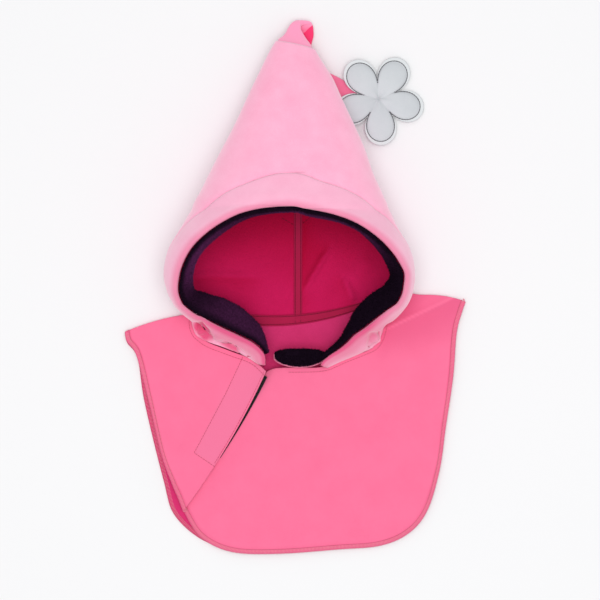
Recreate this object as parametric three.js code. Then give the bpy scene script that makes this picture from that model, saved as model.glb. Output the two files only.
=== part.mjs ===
import * as THREE from "three";

// A child's pixie rain hood with a shoulder cape, lying on its back on a table.
// Millimetres. x runs across the hood, y from the hem (-) to the pointed tip (+), z up from the table.
// The tables are in the garment's own frame, whose y = 0 lies just above the neck seam. The last lines
// move the finished group so that its origin is under the middle of its box.

const CLOTH = 1.8; // fleece backed cloth
const SEAM_GAP = 0.8; // between the edges of two pieces that are sewn together
const BRIM_WIDTH = 31; // folded hem round the face opening, at the forehead
const PLUSH = 4; // pile lining strip
const TAPE = 0.8; // hook and loop strips
const SIDE_ROUND = 0.42; // 0 gives an elliptic underside, 0.5 the flattest one
const HOOD_TIP_Y = 238.7;
const RIM_TOP_Y = 83.8;
const NECK_BACK_Y = -20;
const CHIN_Y = -64;
const RIM_END_Y = -61;
const TIP_SLANT = 0.22; // the tail's seam drops towards the right
const NECK_TILT = 0.07; // the back of the neck seam climbs towards the right
const NECK_RISE = 20; // and from its middle to both sides
const NECK_GAP = 2.5; // from the crown's edge to the middle of the cape's edge
const CORNER_DROP = 2.3; // the cape passes under the hood's side corners
const CORNER_AT = 1.04; // where the side corners are along the neck edge, 1 being the crown's own corner
const CORNER_SPAN = 0.2;
const NECK_FALL = 24; // distance in which the cape comes down from the neck
const TAPE_AIR = 0.45; // between a strip and the cloth that it is sewn to
const CHIN_AIR = 0.9; // between the chin guard and its pad

const COLOURS = {
  hood: 0xf7a6c4,
  cape: 0xf4709e,
  plush: 0x1d1226,
  silver: 0xc9ccd1,
  tape: 0x0b0b0d,
};

// Sections across the hood. left and right are the outline from above, bottom, side and top are the heights
// of the resting back, the widest point and the front. rimLeft and rimRight bound the face opening, where
// there is one, and top is then the height of its rim. neck is the angle at which the hood meets the cape; a
// row without it lies on the curve between those that have it.
const SECTIONS = [
  { y: 238.7, left: -22, right: 13.5, bottom: 10, side: 20, top: 30, neck: -35 },
  { y: 223, left: -31, right: 22.5, bottom: 9.3, side: 21, top: 38 },
  { y: 206, left: -40, right: 31, bottom: 8.5, side: 24, top: 46 },
  { y: 185, left: -50, right: 40, bottom: 7.5, side: 28, top: 56 },
  { y: 160, left: -62, right: 50.5, bottom: 5.5, side: 32, top: 67 },
  { y: 137.5, left: -73.5, right: 60, bottom: 3.5, side: 35, top: 77 },
  { y: 117, left: -83.5, right: 67.5, bottom: 1.8, side: 38, top: 86 },
  { y: 100, left: -92, right: 75.5, bottom: 1.0, side: 39, top: 92 },
  { y: 91, left: -97, right: 79.5, bottom: 0.9, side: 39, top: 95 },
  { y: 83.8, left: -99.7, right: 82.2, bottom: 0.9, side: 39, top: 96, rimLeft: -9, rimRight: -9 },
  { y: 82, left: -100.5, right: 83, bottom: 0.9, side: 39, top: 94.8, rimLeft: -34, rimRight: 4 },
  { y: 78, left: -103, right: 85, bottom: 0.9, side: 39, top: 93, rimLeft: -52, rimRight: 25 },
  { y: 71, left: -107, right: 88, bottom: 0.9, side: 38, top: 91, rimLeft: -68, rimRight: 46 },
  { y: 61, left: -113, right: 93.5, bottom: 0.9, side: 37, top: 87, rimLeft: -83.6, rimRight: 63.7 },
  { y: 48.5, left: -120.5, right: 101, bottom: 0.9, side: 35, top: 81, rimLeft: -97, rimRight: 78.8 },
  { y: 35.5, left: -125, right: 105, bottom: 0.9, side: 33, top: 75, rimLeft: -105.4, rimRight: 89.4 },
  { y: 22, left: -127, right: 106, bottom: 0.9, side: 30, top: 68, rimLeft: -110.4, rimRight: 95.5 },
  { y: 9, left: -124, right: 104.5, bottom: 0.9, side: 27, top: 61, rimLeft: -112.2, rimRight: 94.5 },
  { y: -2, left: -118.5, right: 101, bottom: 0.9, side: 23, top: 53, rimLeft: -109.5, rimRight: 90.4 },
  { y: -11, left: -112.5, right: 96, bottom: 0.9, side: 19, top: 47, rimLeft: -100.4, rimRight: 79.2 },
  { y: -18.5, left: -107.5, right: 90.5, bottom: 0.9, side: 15, top: 42, rimLeft: -87, rimRight: 69.7, neck: -35 },
  { y: -26, left: -104.5, right: 82.5, bottom: 2, side: 12.5, top: 38, rimLeft: -72.2, rimRight: 60.5, neck: -24 },
  { y: -33.5, left: -99.5, right: 78, bottom: 3, side: 12, top: 34, rimLeft: -56.4, rimRight: 50, neck: -15 },
  { y: -40, left: -88, right: 74, bottom: 4.5, side: 12, top: 30, rimLeft: -44, rimRight: 44, neck: -10 },
  { y: -46.5, left: -69, right: 66, bottom: 6.5, side: 12.5, top: 27, rimLeft: -36.5, rimRight: 36, neck: -8 },
  { y: -52.5, left: -54, right: 52, bottom: 8, side: 13, top: 24, rimLeft: -33, rimRight: 27, neck: -8 },
  { y: -58, left: -43.5, right: 38, bottom: 9.5, side: 14, top: 22, rimLeft: -32.5, rimRight: 21, neck: -8 },
  { y: -64, left: -37, right: 25, bottom: 11, side: 15, top: 20.5, rimLeft: -33, rimRight: 18, neck: -8 },
];

// Dents (depth > 0) and ridges (depth < 0) where the slack of the hood's neck bunches under the rim.
// share runs from 0 at the neck seam to 1 at the rim; the spans are half widths.
const FOLDS = [
  { side: -1, y: -29, share: 0.36, spanY: 15, spanShare: 0.3, depth: 11 },
  { side: -1, y: -35, share: 0.34, spanY: 3.2, spanShare: 0.24, depth: -6 },
  { side: -1, y: -47, share: 0.4, spanY: 7, spanShare: 0.26, depth: 4 },
  { side: 1, y: -31, share: 0.34, spanY: 13, spanShare: 0.3, depth: 7 },
  { side: 1, y: -38, share: 0.3, spanY: 3.5, spanShare: 0.24, depth: -4 },
  { side: 1, y: 2, share: 0.5, spanY: 16, spanShare: 0.14, depth: 3 },
  { side: -1, y: 4, share: 0.5, spanY: 18, spanShare: 0.14, depth: 3 },
];

// Thickness of the brim outside and inside its middle line, by the share of its width from the rim's edge.
const BRIM_PROFILE = [
  { inset: 0.98, over: 0.9, under: 0.9 },
  { inset: 0.87, over: 1, under: 1.4 },
  { inset: 0.65, over: 1.6, under: 2.2 },
  { inset: 0.4, over: 2.6, under: 2.4 },
  { inset: 0.2, over: 3.4, under: 2.2 },
  { inset: 0.08, over: 3.2, under: 1.6 },
  { inset: 0.02, over: 2.2, under: 1.1 },
  { inset: 0, over: 0.9, under: 0.6 },
];

// The brim's width from the left chin over the forehead to the right chin.
const BRIM_SPAN = [
  { along: 0, width: 19 },
  { along: 0.07, width: 27 },
  { along: 0.15, width: 32 },
  { along: 0.24, width: 36 },
  { along: 0.31, width: 33 },
  { along: 0.37, width: 26 },
  { along: 0.43, width: 26 },
  { along: 0.5, width: BRIM_WIDTH },
  { along: 0.57, width: 27 },
  { along: 0.64, width: 27 },
  { along: 0.7, width: 33 },
  { along: 0.77, width: 36 },
  { along: 0.85, width: 33 },
  { along: 0.93, width: 27 },
  { along: 1, width: 19 },
];

// How far the plush strip's free edge hangs in from the rim, which way in degrees from +x, and how far down,
// from the left chin to the right one.
const TRIM = [
  { along: 0, inset: 3, way: 60, drop: 4 },
  { along: 0.04, inset: 9, way: 65, drop: 5.5 },
  { along: 0.07, inset: 17.7, way: 61, drop: 6.5 },
  { along: 0.108, inset: 22, way: 64, drop: 7.8 },
  { along: 0.133, inset: 22.5, way: 63, drop: 8.6 },
  { along: 0.158, inset: 21, way: 57, drop: 9.4 },
  { along: 0.183, inset: 19, way: 48, drop: 10.3 },
  { along: 0.21, inset: 13.8, way: 31, drop: 11.5 },
  { along: 0.24, inset: 10.4, way: 6, drop: 13 },
  { along: 0.271, inset: 8, way: -18, drop: 15.4 },
  { along: 0.308, inset: 6.5, way: -48, drop: 17.9 },
  { along: 0.37, inset: 6, way: -66, drop: 21 },
  { along: 0.43, inset: 2.5, way: -79, drop: 22.5 },
  { along: 0.5, inset: 1.5, way: -92, drop: 24 },
  { along: 0.56, inset: 2, way: -100, drop: 23 },
  { along: 0.63, inset: 2.5, way: -110, drop: 21 },
  { along: 0.69, inset: 6.5, way: -121, drop: 18 },
  { along: 0.72, inset: 7.5, way: -142, drop: 16 },
  { along: 0.758, inset: 10.8, way: -176, drop: 13 },
  { along: 0.783, inset: 14.8, way: -195, drop: 11.1 },
  { along: 0.81, inset: 20, way: -206, drop: 10.3 },
  { along: 0.846, inset: 20, way: -208, drop: 9.5 },
  { along: 0.885, inset: 15.4, way: -209, drop: 8 },
  { along: 0.92, inset: 8, way: -218, drop: 6.8 },
  { along: 1, inset: 3, way: -232, drop: 4 },
];

// Rings of the flattened tail, which folds over at the top and runs back under the hood. yaw turns a ring in
// plan and pitch tips it over, in degrees.
const TAIL = [
  { x: -4.5, y: 239.6, z: 20, width: 33, thick: 19, yaw: -12.4, pitch: 0 },
  { x: -4.4, y: 244.2, z: 18, width: 29, thick: 14, yaw: -9, pitch: -12 },
  { x: -4.2, y: 249.5, z: 15, width: 21.5, thick: 9.5, yaw: -6, pitch: -14 },
  { x: -4.6, y: 256, z: 12.6, width: 14.5, thick: 6.5, yaw: 2, pitch: 8 },
  { x: -2.4, y: 260.6, z: 10, width: 12, thick: 5.4, yaw: 3, pitch: 50 },
  { x: 2, y: 261.9, z: 7.2, width: 16, thick: 4.2, yaw: -3, pitch: 92 },
  { x: 2.6, y: 259, z: 4, width: 18, thick: 4, yaw: -3, pitch: 150 },
  { x: 2.2, y: 252, z: 2.9, width: 18.5, thick: 4, yaw: -2, pitch: 172 },
  { x: 2, y: 240, z: 2.6, width: 19, thick: 4.2, yaw: 4, pitch: 180 },
  { x: 4, y: 227, z: 2.6, width: 22, thick: 4.2, yaw: 16, pitch: 180 },
  { x: 10, y: 213, z: 2.6, width: 26, thick: 4.2, yaw: 34, pitch: 180 },
  { x: 23, y: 202, z: 2.5, width: 29, thick: 4.2, yaw: 52, pitch: 180 },
  { x: 38, y: 196, z: 2.2, width: 25, thick: 3.6, yaw: 66, pitch: 180 },
  { x: 51, y: 192, z: 1.9, width: 16, thick: 3, yaw: 73, pitch: 180 },
  { x: 62, y: 190, z: 1.5, width: 6, thick: 2.2, yaw: 76, pitch: 180 },
];

const FLOWER = {
  x: 74.5,
  y: 190.5,
  z: 4.3,
  petals: 5,
  tip: 44,
  notch: 17,
  turn: 130,
  slope: -0.07,
  pad: 1.9,
  flange: 0.7,
  flangeFrom: 0.86,
  roundness: 0.55,
};
const FLOWER_RINGS = [0.4, 0.74, 0.86, 0.93, 1];
const PETAL_STEPS = 8;

// Lines from the neck to the hem: left front, left shoulder, back, right shoulder, right front, underlap.
// at gives a place on the hood's neck seam (0 middle of the back, 1 side, 2 chin) and side its side; the rows
// between the two chin corners give neckX, neckY and neckZ. flat is the height of the lying cloth, and bowX and
// bowY say how far the line bends aside.
const CAPE = [
  { side: -1, at: 1.985, hemX: -111, hemY: -201, flat: 8.3, bowX: 5, bowY: 0 },
  { side: -1, at: 1.86, hemX: -115.5, hemY: -189, flat: 8.3, bowX: 4, bowY: 0 },
  { side: -1, at: 1.7, hemX: -121, hemY: -176, flat: 8.1, bowX: 3, bowY: 0 },
  { side: -1, at: 1.52, hemX: -131.5, hemY: -148, flat: 3.7, bowX: 0, bowY: 0 },
  { side: -1, at: 1.34, hemX: -144, hemY: -97, flat: 3.2, bowX: 0, bowY: 0 },
  { side: -1, at: 1.16, hemX: -156, hemY: -53, flat: 3.2, bowX: 0, bowY: 0 },
  { side: -1, at: 1.04, hemX: -166, hemY: -37.5, flat: 3.2, bowX: 0, bowY: 2 },
  { side: -1, at: 0.99, hemX: -165.5, hemY: -30, flat: 2.1, bowX: 0, bowY: 3 },
  { side: -1, at: 0.93, hemX: -165, hemY: -41, flat: 0.9, bowX: 0, bowY: 2 },
  { side: -1, at: 0.8, hemX: -148, hemY: -98, flat: 0.9, bowX: 0, bowY: 0 },
  { side: -1, at: 0.62, hemX: -130, hemY: -171, flat: 0.9, bowX: 0, bowY: 0 },
  { side: -1, at: 0.46, hemX: -118, hemY: -207, flat: 0.9, bowX: 0, bowY: 0 },
  { side: -1, at: 0.3, hemX: -84, hemY: -233, flat: 0.9, bowX: 0, bowY: 0 },
  { side: -1, at: 0.12, hemX: -38, hemY: -239, flat: 0.9, bowX: 0, bowY: 0 },
  { side: 1, at: 0.05, hemX: 14, hemY: -236, flat: 0.9, bowX: 0, bowY: 0 },
  { side: 1, at: 0.25, hemX: 84, hemY: -228, flat: 0.9, bowX: 0, bowY: 0 },
  { side: 1, at: 0.5, hemX: 128, hemY: -172, flat: 0.9, bowX: 0, bowY: 0 },
  { side: 1, at: 0.75, hemX: 144, hemY: -71, flat: 0.9, bowX: 0, bowY: 0 },
  { side: 1, at: 0.92, hemX: 151, hemY: -16, flat: 0.9, bowX: 0, bowY: 6 },
  { side: 1, at: 0.99, hemX: 158, hemY: -2, flat: 2.1, bowX: 0, bowY: 8 },
  { side: 1, at: 1.05, hemX: 154.5, hemY: -12, flat: 3.2, bowX: 0, bowY: 6 },
  { side: 1, at: 1.2, hemX: 149.5, hemY: -32, flat: 3.2, bowX: 0, bowY: 2 },
  { side: 1, at: 1.42, hemX: 146, hemY: -74, flat: 3.2, bowX: 0, bowY: 0 },
  { side: 1, at: 1.65, hemX: 139, hemY: -121, flat: 3.2, bowX: 0, bowY: 0 },
  { side: 1, at: 1.83, hemX: 133, hemY: -162, flat: 3.3, bowX: 0, bowY: 0 },
  { side: 1, at: 1.97, hemX: 121, hemY: -201, flat: 3.4, bowX: 0, bowY: 0 },
  { neckX: 17, neckY: -66, neckZ: 13, hemX: 103, hemY: -222.5, flat: 3.4, bowX: 0, bowY: 0 },
  { neckX: 8, neckY: -66.5, neckZ: 13, hemX: 76, hemY: -234, flat: 3.4, bowX: 0, bowY: 0 },
  { neckX: -3, neckY: -66.5, neckZ: 12.7, hemX: 36, hemY: -237.5, flat: 3.4, bowX: 0, bowY: 0 },
  { neckX: -14, neckY: -66, neckZ: 12, hemX: -20, hemY: -241.5, flat: 3.4, bowX: 0, bowY: 0 },
  { neckX: -23, neckY: -66.5, neckZ: 9.5, hemX: -64, hemY: -240, flat: 3.4, bowX: 1, bowY: 0 },
  { neckX: -29, neckY: -67.5, neckZ: 7.8, hemX: -93, hemY: -227, flat: 3.4, bowX: 3, bowY: 0 },
  { neckX: -35, neckY: -69, neckZ: 6.7, hemX: -109, hemY: -204, flat: 3.4, bowX: 5, bowY: 0 },
  { neckX: -48, neckY: -62, neckZ: 5.2, hemX: -116, hemY: -184, flat: 3.4, bowX: 4, bowY: 0 },
];
const CAPE_ROWS = [0, 0.06, 0.13, 0.22, 0.35, 0.55, 0.78, 1]; // shares of the way from the neck to the hem
const STEPS_PER_LINE = 2;
const SLIT_LINE = 0; // the left front's free edge among the cape's lines
const UNDER_SLIT = CAPE.length - 2; // the line below it on the right front
const UNDERLAP = CAPE.length - 1;
const TAPE_START = 0.03; // shares of the way down the slit
const TAPE_RUN = 0.61;
const TAPE_STEPS = 8;

// Chin guard: an oval, bent and tipped up, whose ends keep a share of its depth.
const CHIN = {
  x: -0.3,
  y: -55.2,
  z: 14.4,
  halfWidth: 24.5,
  halfDepth: 8.6,
  curve: 2,
  crownRise: 2,
  tip: 0.16,
  endShare: 0.35,
  endBlunt: 0.96,
};
const CHIN_STEPS = 10;
const CHIN_ROWS = [1, 0.5, 0, -0.5, -1];
const PAD_SCALE = 0.86; // the plush pad against the guard
const EDGE_THIN = 0.6; // plush at its free edge, as a share of its thickness

const clamp = THREE.MathUtils.clamp;
const smooth = THREE.MathUtils.smoothstep;
const bell = (distance, span) => Math.exp(-((distance / span) ** 2));
const radians = THREE.MathUtils.degToRad;

// A smooth curve through one column of a table that doesn't overshoot between rows.
function columnCurve(rows, along, column) {
  const used = rows.filter((row) => row[column] !== undefined).sort((a, b) => along(a) - along(b));
  const x = used.map(along);
  const v = used.map((row) => row[column]);
  const rise = x.slice(1).map((next, i) => (v[i + 1] - v[i]) / (next - x[i]));
  const slope = v.map((_, i) => {
    if (i === 0) return rise[0];
    if (i === v.length - 1) return rise[i - 1];
    if (rise[i - 1] * rise[i] <= 0) return 0;
    return (2 * rise[i - 1] * rise[i]) / (rise[i - 1] + rise[i]);
  });
  return (at) => {
    const place = clamp(at, x[0], x[x.length - 1]);
    let i = 0;
    while (i < x.length - 2 && place > x[i + 1]) i += 1;
    const step = x[i + 1] - x[i];
    const t = (place - x[i]) / step;
    return (
      v[i] * (1 + 2 * t) * (1 - t) ** 2 +
      slope[i] * step * t * (1 - t) ** 2 +
      v[i + 1] * t * t * (3 - 2 * t) +
      slope[i + 1] * step * t * t * (t - 1)
    );
  };
}

const byY = (row) => row.y;
const section = {};
for (const column of ["left", "right", "bottom", "side", "top", "neck"])
  section[column] = columnCurve(SECTIONS, byY, column);
// Near its top the rim runs across the sections, so it is smooth in the root of the distance below its top.
const belowTop = (row) => Math.sqrt(Math.max(0, RIM_TOP_Y - row.y));
const rimX = {
  left: columnCurve(SECTIONS, belowTop, "rimLeft"),
  right: columnCurve(SECTIONS, belowTop, "rimRight"),
};

// The angle, 0 at the widest point and 90 degrees at the front, at which a section meets the rim.
function rimAngle(y, side) {
  if (y >= RIM_TOP_Y) return Math.PI / 2;
  const middle = (section.left(y) + section.right(y)) / 2;
  const half = (section.right(y) - section.left(y)) / 2;
  const x = (side < 0 ? rimX.left : rimX.right)(belowTop({ y }));
  return Math.acos(clamp(Math.abs(x - middle) / half, 0, 1));
}

// How far round from the middle of the back the neck seam lies, as a share of half the section.
const neckTurn = (y) => 0.5 + section.neck(y) / 180;

// The hood's plain form. turn is 0 at the middle of the back, -0.5 and 0.5 at the sides, -1 and 1 in front.
function plainHood(y, turn) {
  const wrapped = ((((turn + 1) % 2) + 2) % 2) - 1;
  const side = wrapped < 0 ? -1 : 1;
  const angle = (Math.abs(wrapped) - 0.5) * Math.PI;
  const c = Math.cos(angle);
  const s = Math.sin(angle);
  const middle = (section.left(y) + section.right(y)) / 2;
  const half = (section.right(y) - section.left(y)) / 2;
  const widest = section.side(y);
  const under = angle < 0;
  const square = (v) => (under ? v * (1 + SIDE_ROUND * (1 - v * v)) : v);
  const rise = under ? widest - section.bottom(y) : (section.top(y) - widest) / Math.sin(rimAngle(y, side));
  const x = middle + side * half * square(Math.abs(c));
  const z = widest + Math.sign(s) * rise * square(Math.abs(s));
  const low = smooth(-angle, 0.1, 1);
  const nearNeck = smooth(-y, -60, -NECK_BACK_Y) * low;
  const nearTip = smooth(y, HOOD_TIP_Y - 35, HOOD_TIP_Y);
  const across = (x - middle) / half;
  const lift = nearNeck * (NECK_TILT * (x - middle) + NECK_RISE * across * across);
  return new THREE.Vector3(x, y + lift - nearTip * TIP_SLANT * (x - middle), z);
}

function slopes(surface, y, turn) {
  const stepY = 0.5;
  const stepTurn = 0.004;
  const alongY = surface(y + stepY, turn).sub(surface(y - stepY, turn)).divideScalar(2 * stepY);
  const alongTurn = surface(y, turn + stepTurn).sub(surface(y, turn - stepTurn)).divideScalar(2 * stepTurn);
  return { alongY, alongTurn, normal: alongY.clone().cross(alongTurn).normalize() };
}

// Where the cloth between the neck seam and the rim is, 0 to 1, for the folds.
function neckShare(y, turn) {
  const side = turn < 0 ? -1 : 1;
  const angle = (Math.abs(turn) - 0.5) * Math.PI;
  const start = radians(section.neck(y));
  return (angle - start) / (rimAngle(y, side) - start);
}

const FOLDS_TOP_Y = 50; // the cloth is plain above this height
function hood(y, turn) {
  const point = plainHood(y, turn);
  if (y > FOLDS_TOP_Y) return point;
  const share = neckShare(y, turn);
  let depth = 0;
  for (const fold of FOLDS) {
    const here = bell(y - fold.y, fold.spanY) * bell(share - fold.share, fold.spanShare);
    if (fold.side * turn > 0) depth += fold.depth * here;
  }
  return point.addScaledVector(slopes(plainHood, y, turn).normal, -depth);
}

// Evenly spaced samples along a list of objects that hold a point; the other numbers are interpolated too.
function evenly(samples, count) {
  const reach = [0];
  samples.slice(1).forEach((s, i) => reach.push(reach[i] + s.point.distanceTo(samples[i].point)));
  const total = reach[reach.length - 1];
  return Array.from({ length: count + 1 }, (_, k) => {
    const at = (total * k) / count;
    let i = 0;
    while (i < samples.length - 2 && at > reach[i + 1]) i += 1;
    const t = clamp((at - reach[i]) / (reach[i + 1] - reach[i] || 1), 0, 1);
    const [a, b] = [samples[i], samples[i + 1]];
    const mixed = { side: (t < 0.5 ? a : b).side, point: a.point.clone().lerp(b.point, t) };
    for (const key of Object.keys(a))
      if (typeof a[key] === "number" && key !== "side") mixed[key] = a[key] + (b[key] - a[key]) * t;
    return mixed;
  });
}

// The rim from the left chin over the forehead to the right chin.
const RIM_SAMPLES = 60; // on each side
function rimLoop(count) {
  const dense = [];
  for (const side of [-1, 1])
    for (let k = side < 0 ? 0 : 1; k <= RIM_SAMPLES; k += 1) {
      const t = side < 0 ? 1 - k / RIM_SAMPLES : k / RIM_SAMPLES;
      const y = RIM_TOP_Y - (RIM_TOP_Y - RIM_END_Y) * t * t;
      const size = 0.5 + rimAngle(y, side) / Math.PI;
      dense.push({ side, y, size, point: hood(y, side * size) });
    }
  return evenly(dense, count);
}

// Walks over the hood from a point of the rim, square to it and away from the opening, and stops at the neck.
const WALK_END_Y = CHIN_Y - 6;
function squareWalk(start, heading, distance) {
  const step = 1;
  const path = [{ ...start }];
  let { y, size } = start;
  const way = heading.clone();
  for (let gone = step; gone <= distance; gone += step) {
    const { alongY, alongTurn, normal } = slopes(hood, y, start.side * size);
    way.addScaledVector(normal, -way.dot(normal)).normalize();
    const [a, b, c] = [alongY.dot(alongY), alongY.dot(alongTurn), alongTurn.dot(alongTurn)];
    const [p, q] = [way.dot(alongY), way.dot(alongTurn)];
    const det = a * c - b * b;
    y += (step * (p * c - q * b)) / det;
    size = Math.min(1, size + (start.side * step * (q * a - p * b)) / det);
    const floor = y < NECK_BACK_Y ? neckTurn(y) : 0;
    if (size < floor || y < WALK_END_Y) {
      path.push({ side: start.side, y, size: floor, point: hood(y, start.side * floor) });
      break;
    }
    path.push({ side: start.side, y, size, point: hood(y, start.side * size) });
  }
  return path;
}

const BRIM_STATIONS = 48;
const BRIM_SAMPLES = 100; // across the brim, for reading its profile
const CHIN_PADDING = 0.4; // the padding left at the chin
const PADDING_RUN = 0.16; // share of the brim's length in which it fills up
const rim = rimLoop(BRIM_STATIONS);
rim.forEach((station, k) => {
  const before = rim[Math.max(0, k - 1)].point;
  const after = rim[Math.min(BRIM_STATIONS, k + 1)].point;
  station.tangent = after.clone().sub(before).normalize();
  station.normal = slopes(hood, station.y, station.side * station.size).normal;
  station.heading = station.normal.clone().cross(station.tangent).normalize();
});
const brimSpan = columnCurve(BRIM_SPAN, (row) => row.along, "width");
const crossLines = rim.map(({ side, y, size, point, heading }, k) =>
  squareWalk({ side, y, size, point }, heading, brimSpan(k / BRIM_STATIONS) + SEAM_GAP),
);

// The edge of the crown that the brim is sewn to: how far round it comes on one side of the section at y.
function seamSize(side, y) {
  const middle = BRIM_STATIONS / 2;
  const lines = crossLines.filter((_, k) => rim[k].side === side || k === middle);
  const sorted = lines.map((line) => line.at(-1)).sort((a, b) => a.y - b.y);
  if (y >= sorted[sorted.length - 1].y) return 1;
  let i = 0;
  while (i < sorted.length - 2 && y > sorted[i + 1].y) i += 1;
  const t = clamp((y - sorted[i].y) / (sorted[i + 1].y - sorted[i].y), 0, 1);
  return sorted[i].size + (sorted[i + 1].size - sorted[i].size) * t;
}

// A wall built round a middle surface: each point is pushed out by over and in by under, and the free edges
// are closed. faces are lists of 4 or 3 point numbers, anticlockwise from outside.
function wall(points, faces, over, under) {
  const normals = points.map(() => new THREE.Vector3());
  for (const face of faces) {
    const [a, b, c, d] = [0, 1, 2, face.length - 1].map((k) => points[face[k]]);
    const normal = c.clone().sub(a).cross(d.clone().sub(b));
    if (face.length === 3) normal.copy(b.clone().sub(a).cross(c.clone().sub(a)));
    face.forEach((k) => normals[k].add(normal));
  }
  normals.forEach((n) => n.normalize());
  const positions = [];
  for (const [sign, amount] of [[1, over], [-1, under]])
    points.forEach((p, k) => {
      const out = p.clone().addScaledVector(normals[k], sign * amount(k));
      positions.push(out.x, out.y, out.z);
    });
  const index = [];
  const edges = new Map();
  const count = points.length;
  for (const face of faces) {
    for (let k = 2; k < face.length; k += 1) {
      index.push(face[0], face[k - 1], face[k]);
      index.push(face[0] + count, face[k] + count, face[k - 1] + count);
    }
    face.forEach((from, k) => {
      const to = face[(k + 1) % face.length];
      edges.set(`${from},${to}`, [from, to]);
    });
  }
  for (const [from, to] of edges.values())
    if (!edges.has(`${to},${from}`))
      index.push(to, from, from + count, to, from + count, to + count);
  const geometry = new THREE.BufferGeometry();
  geometry.setAttribute("position", new THREE.Float32BufferAttribute(positions, 3));
  geometry.setIndex(index);
  return geometry;
}

// A wall over a plain grid of rows; the faces look the way that row x column points.
function gridWall(rows, over, under) {
  const width = rows[0].length;
  const faces = [];
  for (let r = 0; r + 1 < rows.length; r += 1)
    for (let c = 0; c + 1 < width; c += 1) {
      const k = r * width + c;
      faces.push([k, k + width, k + width + 1, k + 1]);
    }
  const cell = (amount) => (k) =>
    typeof amount === "number" ? amount : amount(Math.floor(k / width), k % width);
  return wall(rows.flat(), faces, cell(over), cell(under));
}

const garment = new THREE.Group();

function addPiece(name, geometry, colour, roughness = 0.9, metalness = 0) {
  const material = new THREE.MeshStandardMaterial({ color: colour, roughness, metalness });
  geometry.computeVertexNormals();
  const mesh = new THREE.Mesh(geometry, material);
  mesh.name = name;
  garment.add(mesh);
}

// Crown: the pointed hood, open at the face and the neck.
const BACK_COLUMNS = 5; // from the middle of the back to the neck's corner, on each side
const FRONT_COLUMNS = 9; // from there to the brim's seam or the front
const PEAK_ROWS = [HOOD_TIP_Y, 230, 216, 200, 184, 168, 152, 136, 124];
const CLOSE_ROW = 3; // the row next to the top of the brim's seam
const OPEN_ROWS = 13; // from there to the neck, crowded towards the seam's top
const CROWDING = 1.6;
const STRIP_ROWS = 5; // in the strips that run down to the chin beside the neck opening
const STRIP_END = 0.03; // turn between the brim's seam and the neck seam at which such a strip ends
const STRIP_STEP = 0.5;
function crownGeometry() {
  const seamTop = crossLines[BRIM_STATIONS / 2].at(-1).y;
  const rowsAt = [...PEAK_ROWS, seamTop + CLOSE_ROW, seamTop];
  for (let k = 1; k <= OPEN_ROWS; k += 1)
    rowsAt.push(seamTop - (seamTop - NECK_BACK_Y) * (k / OPEN_ROWS) ** CROWDING);
  const neckRow = rowsAt.length - 1;
  const columns = BACK_COLUMNS + FRONT_COLUMNS;
  const stripEnd = (side) => {
    let y = NECK_BACK_Y;
    while (y > CHIN_Y && seamSize(side, y) - neckTurn(y) > STRIP_END) y -= STRIP_STEP;
    return y;
  };
  const points = [];
  const number = new Map();
  const place = (row, column) => {
    const closed = row <= neckRow && rowsAt[row] >= seamTop;
    const key = closed && column === -columns ? `${row},${columns}` : `${row},${column}`;
    if (!number.has(key)) {
      const side = column < 0 ? -1 : 1;
      const down = (row - neckRow) / STRIP_ROWS;
      const y = down > 0 ? NECK_BACK_Y + (stripEnd(side) - NECK_BACK_Y) * down : rowsAt[row];
      const corner = neckTurn(y);
      const end = closed ? 1 : seamSize(side, y);
      const c = Math.abs(column);
      const inFront = (c - BACK_COLUMNS) / FRONT_COLUMNS;
      const size = inFront <= 0 ? (corner * c) / BACK_COLUMNS : corner + (end - corner) * inFront;
      number.set(key, points.length);
      points.push(hood(y, side * size));
    }
    return number.get(key);
  };
  const faces = [];
  for (let row = 0; row < neckRow + STRIP_ROWS; row += 1)
    for (let column = -columns; column < columns; column += 1) {
      const inBack = column >= -BACK_COLUMNS && column < BACK_COLUMNS;
      if (row >= neckRow && inBack) continue;
      const above = [place(row, column), place(row, column + 1)];
      faces.push([...above, place(row + 1, column + 1), place(row + 1, column)]);
    }
  return wall(points, faces, () => CLOTH / 2, () => CLOTH / 2);
}

// Brim: the padded band between the crown and the face opening, thinner towards the chin.
function brimGeometry() {
  const rows = crossLines.map((line) => {
    const even = evenly(line.slice(0, -1), BRIM_SAMPLES);
    return BRIM_PROFILE.map(({ inset }) => even[Math.round(inset * BRIM_SAMPLES)].point);
  });
  const fromChin = (r) => Math.min(r, BRIM_STATIONS - r) / BRIM_STATIONS;
  const full = (r) => CHIN_PADDING + (1 - CHIN_PADDING) * smooth(fromChin(r), 0, PADDING_RUN);
  const part = (key) => (r, c) => BRIM_PROFILE[c][key] * (c === 0 ? 1 : full(r));
  return gridWall(rows.reverse(), part("over"), part("under"));
}

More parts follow.
